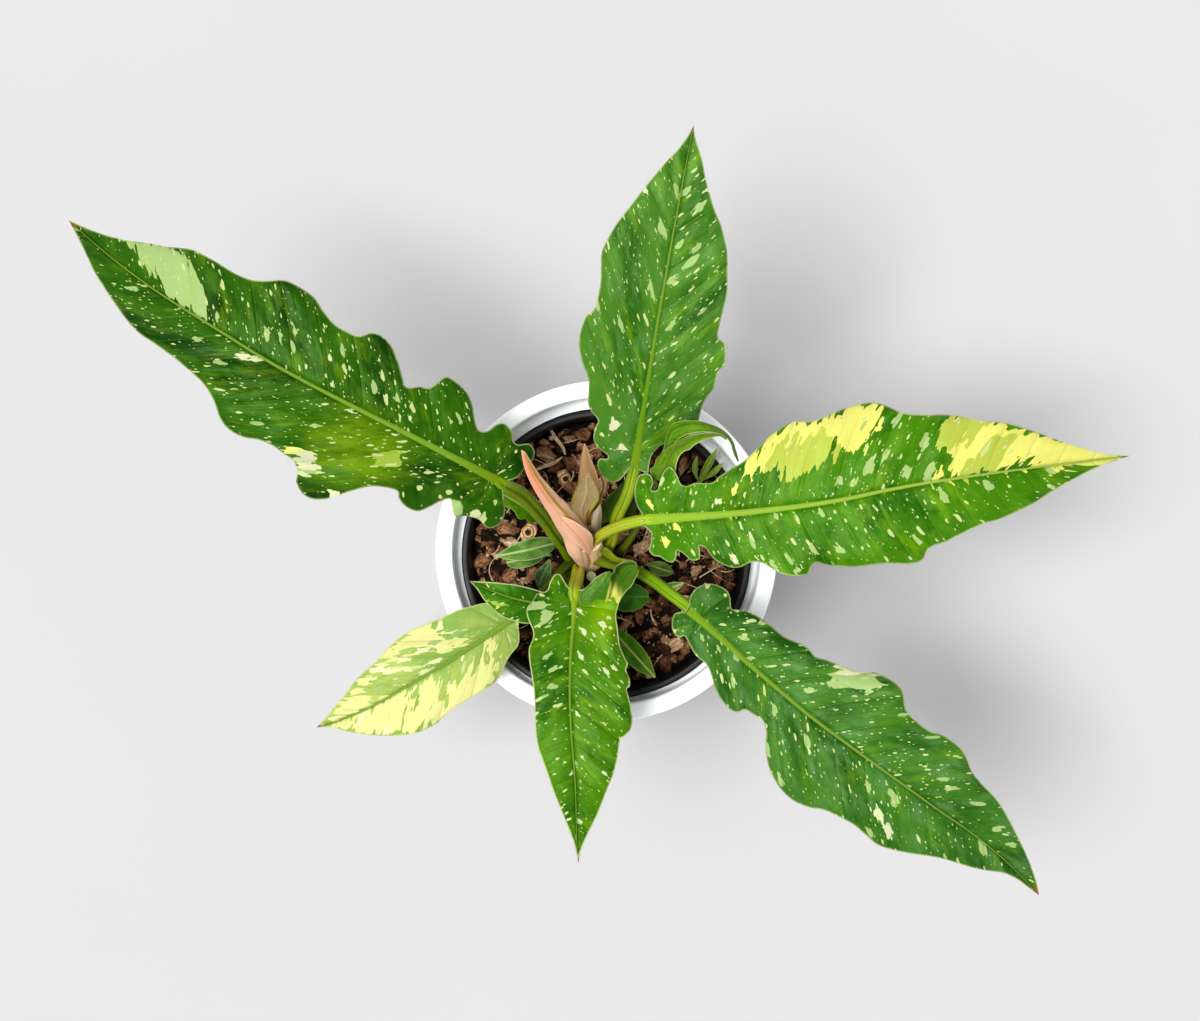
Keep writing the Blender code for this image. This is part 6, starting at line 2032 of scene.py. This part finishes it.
@dataclass
class Crown:
    """The short thick stem, ringed with the scars of old leaves."""

    centre: Pair = (-9.7, -0.2)
    foot: float = 118
    profile: tuple[Pair, ...] = (
        (12.0, 0.0), (12.0, 20), (11.4, 27), (10.0, 32), (8.6, 37), (6.0, 40.8), (2.6, 42.4),
    )
    rings: int = 70
    sides: int = 72
    scar_spacing: float = 3.2
    scar_depth: float = 0.35
    roughness: float = 0.5
    finish: BarkFinish = BarkFinish(
        "crown", (
            (0.0, (30, 24, 10)), (0.4, (74, 70, 24)), (0.6, (112, 112, 44)), (0.8, (140, 118, 64)),
            (1.0, (182, 164, 104)),
        ), 0.5,
    )

    def build(self) -> None:
        """Make the crown."""
        radii, heights = np.array(self.profile).T
        levels = np.linspace(0, heights[-1], self.rings)
        scars = np.abs(np.sin(math.pi * levels / self.scar_spacing)) ** 0.3
        rings = []
        for level, radius in zip(levels, np.interp(levels, heights, radii) - self.scar_depth * scars):
            reach = radius + self.roughness * rough_ring(self.sides, 3, level / 4)
            rings.append(level_ring(self.centre, reach, self.foot + level, self.sides))
        form, grain = Form("crown_stem"), np.array(rings)
        form.tube(grain, grain=grain, tint=np.full(grain.shape[:2], 0.5))
        form.build(self.finish.make(), "crown_stem", ["crown"], 60)


STALKS = (
    Stalk(
        "west",
        [
            (-20.4, -0.9, 154), (-23.3, 4.2, 170), (-27.0, 8.8, 183), (-31.0, 15.2, 196),
            (-37.2, 23.0, 216), (-43.3, 29.8, 233), (-50.7, 33.9, 247.4),
        ],
        142, 3.7, 3.2,
        StalkFinish("west", (138, 176, 0), (120, 156, 0), (128, 166, 8), (88, 102, 0), (148, 182, 14)),
    ),
    Stalk(
        "east",
        [
            (-7.8, 3.4, 169), (-5.6, 6.0, 179), (-2.4, 9.0, 191), (2.4, 11.8, 204), (9.3, 14.6, 220),
            (18.3, 16.9, 233.8),
        ],
        20, 2.9, 2.8,
        StalkFinish(
            "east", (250, 184, 60), (230, 242, 50), (180, 228, 30), (250, 255, 130), (168, 192, 10),
        ),
        0.62, 0.3,
    ),
    Stalk(
        "north",
        [
            (1.0, 1.8, 153), (3.3, 6.5, 172), (4.3, 13.0, 190), (6.0, 19.8, 206), (9.4, 27.0, 222),
            (11.6, 33.2, 232), (13.9, 42.3, 240.8),
        ],
        75, 3.1, 2.9,
        StalkFinish("north", (252, 262, 56), (222, 240, 36), (118, 162, 8), (222, 238, 84), (112, 156, 0)),
        1.0,
    ),
    Stalk(
        "southeast",
        [
            (1.9, -5.9, 149.5), (8.2, -7.4, 172), (15.9, -10.0, 193), (24.9, -15.1, 209),
            (33.4, -21.5, 219), (41.3, -27.6, 223.6),
        ],
        -35, 3.0, 2.9,
        StalkFinish(
            "southeast", (140, 178, 2), (142, 192, 2), (140, 190, 10), (184, 220, 50), (90, 140, 0),
        ),
    ),
    # The south stalk is painted lighter at its foot and middle, which the crown's pieces shade, and darker
    # at its end, which faces the light: painted light and shade.
    Stalk(
        "south", [(-15.0, -9.6, 151), (-15.2, -12.6, 172), (-15.8, -15.6, 192), (-16.7, -19.2, 208)], -92,
        3.5, 2.6,
        StalkFinish(
            "south", (304, 292, 90), (284, 290, 66), (120, 168, 14), (290, 288, 130), (204, 220, 30), 0.3,
        ),
        1.0,
    ),
    Stalk(
        "southwest",
        [(-19.8, -6.2, 147.5), (-26.5, -13.0, 160), (-35.8, -23.8, 174), (-47.4, -33.7, 184.4)], -146, 2.4,
        2.2,
        StalkFinish(
            "southwest", (94, 112, 20), (92, 116, 18), (130, 160, 50), (140, 156, 62), (60, 82, 8),
        ),
        1.0,
    ),
    Stalk(
        "inner",
        [
            (-18.6, -9.4, 143.2), (-20.6, -12.6, 150), (-21.9, -16.0, 162), (-23.8, -21.0, 178),
            (-28.2, -26.4, 191.6),
        ],
        -125, 1.6, 1.6,
        StalkFinish("inner", (94, 112, 20), (96, 120, 20), (110, 140, 30), (140, 156, 62), (60, 82, 8)),
        1.0,
    ),
    Stalk(
        "curled",
        [
            (2.6, -1.4, 142.8), (6.0, -1.2, 149), (9.8, 2.4, 164), (15.4, 11.5, 182), (20.6, 24.5, 202),
            (24.2, 35.0, 218.5),
        ],
        58, 1.9, 1.9,
        StalkFinish("curled", (96, 110, 20), (108, 128, 24), (140, 168, 60), (160, 176, 80), (66, 88, 10)),
        1.0,
    ),
)

GROWTHS = (
    Growth(
        "stub", "cut_stub", "bud", [(-8.5, -11.2, 148.5), (-8.2, -12.4, 160), (-8.0, -13.2, 174)],
        round_section(28), [(0, 2.3), (1, 2.5)], [(0, 2.3), (1, 2.5)], -90,
        SheathFinish(
            "stub", (170, 176, 122), (150, 150, 60), (160, 160, 104), (204, 206, 160), 0, 0.2, 0.3, 0.4,
        ),
    ),
    Growth(
        "dry_strand", "withered_strand", "bud",
        [
            (-9.1, 14.6, 190), (-9.4, 18.3, 202), (-8, 22.5, 214), (-4.4, 26.5, 224), (-2.1, 31.6, 232),
            (-1.9, 36.5, 238), (-4.9, 42, 243),
        ],
        leaf_section(9), [(0, 1.2), (0.35, 1.3), (0.6, 0.8), (1, 0.35)], [(0, 0.9), (0.5, 0.6), (1, 0.35)],
        90,
        SheathFinish(
            "strand", (168, 96, 30), (120, 62, 18), (104, 52, 14), (196, 130, 60), 0, 0.2, 0.6, 0.4,
        ),
    ),
)

SHEETS = (
    Sheet(
        "furled_sheath", "sheath",
        [
            (-15.7, -5.8, 162), (-19.3, -2.4, 172), (-21.3, 1.9, 180), (-22.8, 7.3, 188),
            (-26.2, 13.1, 199), (-29.6, 19.9, 214), (-33.7, 27, 231), (-37.7, 34.9, 252),
            (-40.2, 41.6, 268), (-41.2, 47.2, 281), (-41.4, 50.8, 290),
        ],
        [
            (-7.7, -2.6, 160), (-8.2, 2.9, 172), (-8.1, 8.3, 182), (-9.7, 12, 190), (-13.3, 16.3, 200),
            (-18.2, 22.5, 216), (-23.7, 27.5, 229), (-28.4, 33, 244), (-32.6, 38.3, 257),
            (-36.2, 43.9, 272), (-39.3, 49.4, 288), (-41.1, 50.8, 290),
        ],
        [
            (-1, 0), (-0.8, 0.42), (-0.45, 0.5), (-0.3, 0.42), (0.1, 0.72), (0.5, 0.62), (0.85, 0.34),
            (1, 0),
        ],
        [(0, 8), (0.6, 7), (1, 0.6)],
        SheathFinish(
            "pink", (312, 240, 200), (312, 246, 208), (196, 162, 20), (318, 272, 240), -0.6, 0.38, 0.95,
            0.6, flush=(326, 196, 144),
        ),
        ("pink_sheath",),
    ),
    Sheet(
        "sheath_flap", "sheath",
        [(-8.7, -1.8, 176), (-12.8, 1.5, 186), (-16.9, 5.8, 195), (-21.5, 12.2, 206), (-25.6, 19.9, 219)],
        [
            (-8.4, -1.8, 176), (-7.1, 3.1, 184), (-7.6, 8.9, 194), (-12.2, 13.2, 205), (-18.3, 17.1, 214),
            (-25.4, 19.9, 219.5),
        ],
        [(-1, 0), (-0.6, 0.14), (0, 0.3), (0.2, 0.2), (0.6, 0.24), (1, 0)], [(0, 0.8), (1, 0.6)],
        SheathFinish(
            "flap", (302, 228, 184), (304, 244, 206), (290, 190, 140), (320, 270, 240), 0.25, 0.22, 0.7,
            0.9,
        ),
    ),
    Sheet(
        "sheath_collar", "sheath",
        [(-12, -9.3, 150), (-15.7, -6.2, 156), (-19.4, -2, 166), (-21.3, 4, 179)],
        [(-5, -8.8, 150), (-2.3, -4.8, 157), (-1.5, 0.7, 167), (-2.3, 4.8, 177)],
        [(-1, 0), (-0.7, 0.4), (-0.25, 0.5), (-0.12, 0.34), (0.0, 0.5), (0.5, 0.52), (0.8, 0.36), (1, 0)],
        [(0, 5), (1, 4)],
        SheathFinish(
            "collar", (304, 250, 192), (272, 214, 130), (262, 180, 120), (320, 288, 246), -0.12, 0.1, 0.9,
            0.5,
        ),
    ),
    Sheet(
        "collar_scale", "sheath",
        [(-13.1, -8.7, 151), (-10.9, -7, 156), (-8.2, -4.7, 162), (-6.1, -0.9, 170)],
        [(-6.1, -9.3, 150), (-3.4, -6.5, 154), (-2.3, -2.6, 161), (-1.8, 2.9, 172)],
        [(-1, 0.5), (-0.4, 0.75), (0.3, 0.72), (1, 0.5)], [(0, 1.2), (1, 0.8)],
        SheathFinish(
            "scale", (290, 240, 176), (246, 190, 110), (260, 192, 130), (316, 280, 230), 0.0, 0.3, 0.3,
            0.8,
        ),
    ),
    Sheet(
        "tan_bud", "bud",
        [
            (-10.8, 9.2, 168), (-12.3, 16.7, 182), (-14.3, 26.1, 203), (-14.9, 35.3, 217),
            (-14, 42.7, 229), (-13, 48.6, 238), (-11.9, 53.4, 246), (-11.4, 55.1, 249),
        ],
        [
            (-4.5, 9.2, 166), (-3.4, 16.7, 182), (-2.9, 24, 198), (-2.9, 30.2, 208), (-3.7, 35.8, 217),
            (-4.9, 41.3, 226), (-7.4, 47.1, 236), (-9.4, 52.5, 245), (-11.1, 55.1, 249),
        ],
        [(-1, 0.3), (-0.85, 0.12), (-0.3, 0.25), (0.05, 0.5), (0.3, 0.2), (0.8, 0.1), (1, 0.3)],
        [(0, 4), (0.6, 3), (1, 0.5)],
        SheathFinish(
            "tan", (232, 184, 126), (190, 180, 60), (190, 150, 76), (276, 222, 184), 0.1, 0.14, 0.6, 0.9,
        ),
        ("rear_bud",),
    ),
    Sheet(
        "spoon_sheath", "bud",
        [
            (-10.3, 8.2, 172), (-11.3, 13.1, 188), (-13.8, 16.2, 197), (-17.1, 20.4, 208),
            (-18.2, 24.5, 220), (-17.8, 28.5, 231), (-16.2, 32.5, 241), (-13.8, 36.4, 251),
            (-11.3, 39.3, 258), (-9.1, 40.5, 262),
        ],
        [
            (-8.2, 9.3, 174), (-9.7, 15.7, 194), (-8.5, 21.4, 211), (-5.9, 25.5, 223), (-3.9, 29, 234),
            (-4.2, 32.5, 242), (-5.9, 35.9, 250), (-7.6, 38.8, 258), (-8.8, 40.5, 262),
        ],
        [(-1, 0.22), (-0.86, 0.1), (-0.2, 0.02), (0, 0.1), (0.2, 0.02), (0.86, 0.1), (1, 0.22)],
        [(0, 3), (0.6, 1.6), (1, 0.5)],
        SheathFinish(
            "spoon", (228, 192, 146), (264, 220, 170), (262, 226, 190), (190, 200, 10), 0.0, 0.07, 0.8,
            0.95, edge_start=0.78, mottle=(188, 158, 108),
        ),
        ("spoon_bud",),
    ),
    Sheet(
        "cream_scale", "bud",
        [(-8.2, 8.2, 172), (-9.1, 14.6, 190), (-7.5, 19.9, 203), (-4.4, 23.5, 211), (-3.4, 25, 214)],
        [(-3.4, 9.8, 172), (-2.4, 16.2, 190), (-2.4, 20.9, 204), (-3.1, 25, 214)],
        [(-1, 0), (-0.3, 0.3), (0.4, 0.3), (1, 0)], [(0, 2.5), (1, 0.6)],
        SheathFinish(
            "cream", (258, 226, 188), (234, 208, 144), (200, 192, 110), (276, 254, 232), -0.4, 0.3, 0.6,
            0.7,
        ),
    ),
    Sheet(
        "north_wing_left", "stalk",
        [
            (-1.8, 15.7, 186), (-2.6, 20.4, 194), (-2.1, 26.1, 203), (2.2, 30.7, 212), (7.8, 35.7, 222),
            (12.3, 40.7, 230),
        ],
        [(2.9, 15.7, 186), (4.4, 22.5, 196), (6.9, 28.7, 207), (9.9, 34.7, 219), (12.8, 40.7, 230)],
        [(-1, 0), (0, 0.1), (1, 0.2)], [(0, 1.5), (1, 0.5)],
        SheathFinish(
            "wing", (56, 96, 22), (70, 100, 24), (30, 62, 10), (120, 156, 60), 0.1, 0.4, 0.6, 0.5,
        ),
    ),
    Sheet(
        "north_wing_right", "stalk",
        [(7.1, 15.7, 186), (9.1, 21.4, 197), (11.5, 26.6, 208), (13.9, 32.7, 221)],
        [(10.8, 15.7, 184), (14.3, 19.9, 194), (16.2, 25.1, 205), (15.5, 32.2, 220)],
        [(-1, 0), (0, 0.1), (1, 0)], [(0, 1.5), (1, 0.5)],
        SheathFinish(
            "wing_right", (48, 80, 18), (74, 96, 26), (26, 50, 8), (104, 136, 50), 0.1, 0.4, 0.6, 0.4,
        ),
    ),
    Sheet(
        "southeast_sheath", "stalk",
        [(-0.2, 2.6, 172), (2.4, 0.8, 177), (5.5, -2.5, 184), (10.2, -3.6, 192), (15.3, -5.8, 199)],
        [(-5, -6.5, 156), (-1.8, -8.7, 162), (3, -9, 173), (8.2, -10.3, 184), (12.8, -11.9, 193)],
        [(-1, 0), (-0.6, 0.5), (-0.1, 0.42), (0.2, 0.12), (0.6, 0.36), (1, 0.1)], [(0, 4), (1, 3)],
        SheathFinish(
            "southeast", (130, 156, 10), (116, 132, 8), (58, 80, 0), (184, 206, 60), 0.15, 0.22, 0.7, 0.6,
        ),
    ),
    Sheet(
        "leaf_curled", "leaf",
        [
            (24.4, 38.1, 232), (24.7, 43, 240), (26.5, 47.9, 248), (28.3, 53.2, 255), (29.2, 58.5, 259),
            (31.6, 63.8, 263), (35.9, 65.7, 266), (40.7, 65.8, 269), (45.6, 65.5, 270), (50.6, 64.2, 267),
            (55.9, 62.4, 260), (60.2, 59.7, 252), (63.1, 56.5, 245), (65.1, 52.2, 236), (67.2, 46.8, 226),
        ],
        [
            (24.9, 38.1, 231), (28.8, 42.1, 238), (30.6, 46.9, 246), (31.8, 50.7, 254), (33.1, 54, 260),
            (35, 56.4, 264), (37.8, 58.3, 267), (41.2, 59.4, 270), (45.5, 60.1, 271), (50.6, 60.2, 268),
            (55.8, 59.7, 261), (59.7, 57.7, 252), (62.1, 55, 245), (63.6, 51.2, 236), (66.2, 46.8, 226),
        ],
        [(-1, 0), (-0.4, 0.3), (0.3, 0.4), (1, 0)], [(0, 0.8), (0.2, 1.6), (1, 0.6)],
        SheathFinish(
            "curled", (104, 160, 0), (112, 170, 4), (52, 116, 0), (232, 246, 140), 0.3, 0.3, 0.7, 0.8,
            edge_start=0.88, streaks=0.1, mottle=(66, 130, 0),
        ),
        ("blade_curled",),
    ),
    Sheet(
        "leaf_curled_fold", "leaf",
        [
            (24.4, 37.1, 233), (21.7, 42.5, 241), (23.1, 44.5, 245), (24, 46.1, 248), (24.4, 48.3, 252),
            (26.3, 50.2, 256), (26.8, 51.6, 258), (29.2, 53, 261), (32, 54.9, 265), (37.3, 58.2, 269),
            (40.6, 59.4, 271), (45.5, 60.1, 272), (50.5, 60.2, 269), (55.7, 59.6, 263), (59.6, 57.7, 254),
        ],
        [
            (25.4, 37.1, 233), (30.8, 37.6, 237), (34.2, 41.5, 241), (34.8, 46.4, 247), (36.4, 50.3, 251),
            (38.8, 52.2, 254), (40.7, 52.7, 256), (43.5, 55, 260), (48.3, 57.2, 263), (52.3, 58.2, 262),
            (56, 58.6, 258), (59.2, 56.7, 253),
        ],
        [(-1, 0.15), (-0.5, -0.05), (0.3, 0.12), (0.8, 0.1), (1, 0.2)], [(0, 0.8), (1, 0.6)],
        SheathFinish(
            "curled_fold", (134, 186, 2), (108, 166, 0), (176, 212, 60), (240, 248, 170), 0.1, 0.07, 0.8,
            0.95, edge_start=0.88, streaks=0.1, mottle=(84, 146, 0),
        ),
    ),
    Sheet(
        "south_ruffle_west", "leaf",
        [
            (-10.6, -29.5, 209), (-14.2, -22.7, 214), (-11.1, -17.4, 218), (-7, -14.3, 220),
            (-4.4, -13.2, 221), (-1.9, -10.7, 222), (1.4, -9.1, 223),
        ],
        [
            (-3.4, -31.6, 208), (-1.3, -26.9, 211), (0.2, -23.1, 215), (2.5, -18.9, 219),
            (2.2, -16.3, 221), (3, -12.7, 222), (1.6, -9.1, 223.5),
        ],
        [(-1, 0.0), (-0.3, -0.1), (0.2, 0.15), (0.7, 0.05), (1, 0.2)], [(0, 0.6), (1, 0.5)],
        SheathFinish(
            "ruffle_west", (108, 164, 62), (84, 142, 4), (66, 130, 14), (196, 220, 120), -0.6, 0.5, 0.9,
            0.6, edge_start=0.92, streaks=0.1, mottle=(62, 128, 20),
        ),
    ),
    Sheet(
        "south_ruffle_east", "leaf",
        [
            (-1.3, -29.5, 209), (-0.1, -22.6, 215), (1.4, -15.2, 222), (1.4, -10.5, 226), (3.2, -8, 228),
            (3.9, -5.7, 229), (7.2, -3.9, 230), (11.3, -4.1, 229), (14.4, -5.4, 227),
        ],
        [
            (4.8, -31.1, 209), (6.3, -25.7, 214), (8.1, -21.5, 218), (10.4, -17.8, 220),
            (11.9, -16.3, 221), (14.2, -12.2, 223), (15.9, -9, 225), (15.1, -6.5, 226),
        ],
        [(-1, 0.3), (-0.6, 0.2), (-0.1, -0.3), (0.3, -0.3), (0.7, 0.1), (1, 0.35)], [(0, 0.6), (1, 0.5)],
        SheathFinish(
            "ruffle_east", (66, 118, 0), (252, 252, 120), (34, 88, 0), (214, 230, 120), 0.55, 0.2, 0.8,
            0.7, edge_start=0.9, foot_end=0.6, streaks=0.08, mottle=(52, 104, 0),
        ),
    ),
)

GREY = SmallLeafFinish("grey", (72, 130, 40), (132, 176, 80), (200, 222, 140), (206, 224, 150), 0.8)

DIM = SmallLeafFinish("dim", (62, 100, 24), (110, 144, 60), (150, 176, 90), (160, 184, 100), 0.6)

SMALL_LEAVES = (
    SmallLeaf(
        "grey_leaf_front", (-27.5, 3.4), [(-29, 3.8, 152), (-43, 0.4, 162), (-59.4, -2.8, 157)],
        [(0.28, 1.0), (0.4, 3.8), (0.55, 5.6), (0.7, 5.4), (0.86, 3.2), (1, 0.3)], GREY,
    ),
    SmallLeaf(
        "grey_leaf_rear", (-30.5, -2.4), [(-34.5, -2.2, 146), (-44.0, -4.2, 152), (-53.6, -6.4, 150)],
        [(0.35, 1.0), (0.5, 3.4), (0.7, 4.8), (0.88, 4.2), (1, 1.6)], GREY,
    ),
    SmallLeaf(
        "lobed_leaf", (-32.5, 14.0), [(-35, 16.5, 158), (-44.2, 24.1, 182), (-58.6, 32.9, 190)],
        [(0.4, 1.0), (0.52, 5.4), (0.6, 4.4), (0.7, 6.8), (0.79, 4.6), (0.88, 5.0), (1, 0.6)],
        SmallLeafFinish("lobed", (78, 158, 0), (128, 196, 6), (210, 234, 110), (186, 220, 80)),
    ),
    SmallLeaf(
        "round_leaf", (1.6, -24.5), [(4.0, -24.3, 156), (12.6, -24.4, 163), (22.6, -24.2, 163)],
        [(0.45, 1.0), (0.56, 5.6), (0.72, 8.0), (0.88, 6.4), (1, 2.2)],
        SmallLeafFinish("round", (40, 108, 14), (70, 144, 30), (100, 156, 40), (150, 190, 70), 0.6),
    ),
    SmallLeaf(
        "pointed_leaf", (2.0, -41.5), [(5.0, -44.2, 155), (13.7, -53.8, 163), (26.1, -67.7, 158)],
        [(0.3, 1.0), (0.45, 4.0), (0.65, 5.8), (0.82, 4.6), (1, 0.5)],
        SmallLeafFinish("pointed", (56, 124, 4), (104, 170, 10), (214, 226, 130), (190, 216, 90)),
    ),
    SmallLeaf(
        "flat_leaf", (36.0, -11.8), [(34.5, -11.4, 149), (28.5, -9.4, 152.5), (21.9, -7.1, 150)],
        [(0.45, 1.0), (0.6, 3.0), (0.78, 3.8), (1, 0.5)], DIM,
    ),
    SmallLeaf(
        "leaf_tip", (29.2, -21.4), [(31.0, -20.9, 150), (35.8, -19.4, 156), (41.6, -17.1, 157)],
        [(0.4, 0.9), (0.6, 2.4), (0.8, 2.8), (1, 0.5)], GREY,
    ),
    SmallLeaf(
        "striped_leaf", (-36.6, -19.0), [(-35.6, -16.6, 151), (-32.6, -10.4, 161), (-30.2, -4.4, 164)],
        [(0.35, 1.0), (0.55, 3.4), (0.75, 4.2), (1, 0.6)],
        SmallLeafFinish("striped", (30, 62, 22), (62, 98, 44), (110, 138, 80), (170, 190, 130), 0.4, 0.4),
    ),
)


# The view

@dataclass
class Studio:
    """The floor, the lights and the camera, which looks straight down from above the pot."""

    camera_place: Triple = (-3.4, 21.7, 1460)
    rim_height: float = 160
    rim_scale: float = 0.535
    image_width: int = 1200
    sensor: float = 36
    view_depth: float = 50
    floor_size: float = 12000
    sun_fall: Triple = (0.3, 0.05, -1.0)
    sun_strength: float = 4.28
    sun_spread: float = 23
    sky: float = 0.86

    def build(self) -> None:
        """Make the floor, the lights and the camera."""
        scene = bpy.context.scene
        scene.view_settings.view_transform = "Standard"
        scene.view_settings.look = "None"
        self.build_floor()
        world = bpy.data.worlds.new("sky")
        world.use_nodes = True
        background = world.node_tree.nodes["Background"].inputs
        background["Color"].default_value = (1, 1, 1, 1)
        background["Strength"].default_value = self.sky
        scene.world = world
        sun = bpy.data.lights.new("window", "SUN")
        sun.energy = self.sun_strength
        sun.angle = math.radians(self.sun_spread)
        lamp = bpy.data.objects.new("window", sun)
        lamp.rotation_euler = Vector(self.sun_fall).to_track_quat("-Z", "Y").to_euler()
        scene.collection.objects.link(lamp)
        lens = bpy.data.cameras.new("view")
        lens.sensor_width = self.sensor
        distance = self.camera_place[2] - self.rim_height
        lens.lens = self.sensor * distance / (self.rim_scale * self.image_width)
        lens.clip_end = self.view_depth
        camera = bpy.data.objects.new("view", lens)
        camera.location = Vector(self.camera_place) * MM
        scene.collection.objects.link(camera)
        scene.camera = camera
        log.info("studio: floor, sky, window light and camera")

    def build_floor(self) -> None:
        """Make the floor under the pot."""
        reach = self.floor_size / 2 * MM
        mesh = bpy.data.meshes.new("floor")
        corners = [(-reach, -reach, 0), (reach, -reach, 0), (reach, reach, 0), (-reach, reach, 0)]
        mesh.from_pydata(corners, [], [(0, 1, 2, 3)])
        mesh.materials.append(FloorFinish().make())
        floor = bpy.data.objects.new("floor", mesh)
        bpy.context.scene.collection.objects.link(floor)


def main() -> None:
    """Dress the frame, piece by piece."""
    logging.basicConfig(level=logging.INFO, format="%(message)s")
    Studio().build()
    OuterPot().build()
    Liner().build()
    seedling = Seedling()
    BarkMix(stems=(*(leaf.foot for leaf in SMALL_LEAVES), seedling.foot)).build()
    Crown().build()
    for piece in BLADES + STALKS + GROWTHS + SHEETS + SMALL_LEAVES:
        piece.build()
    seedling.build()


if __name__ == "__main__":
    main()
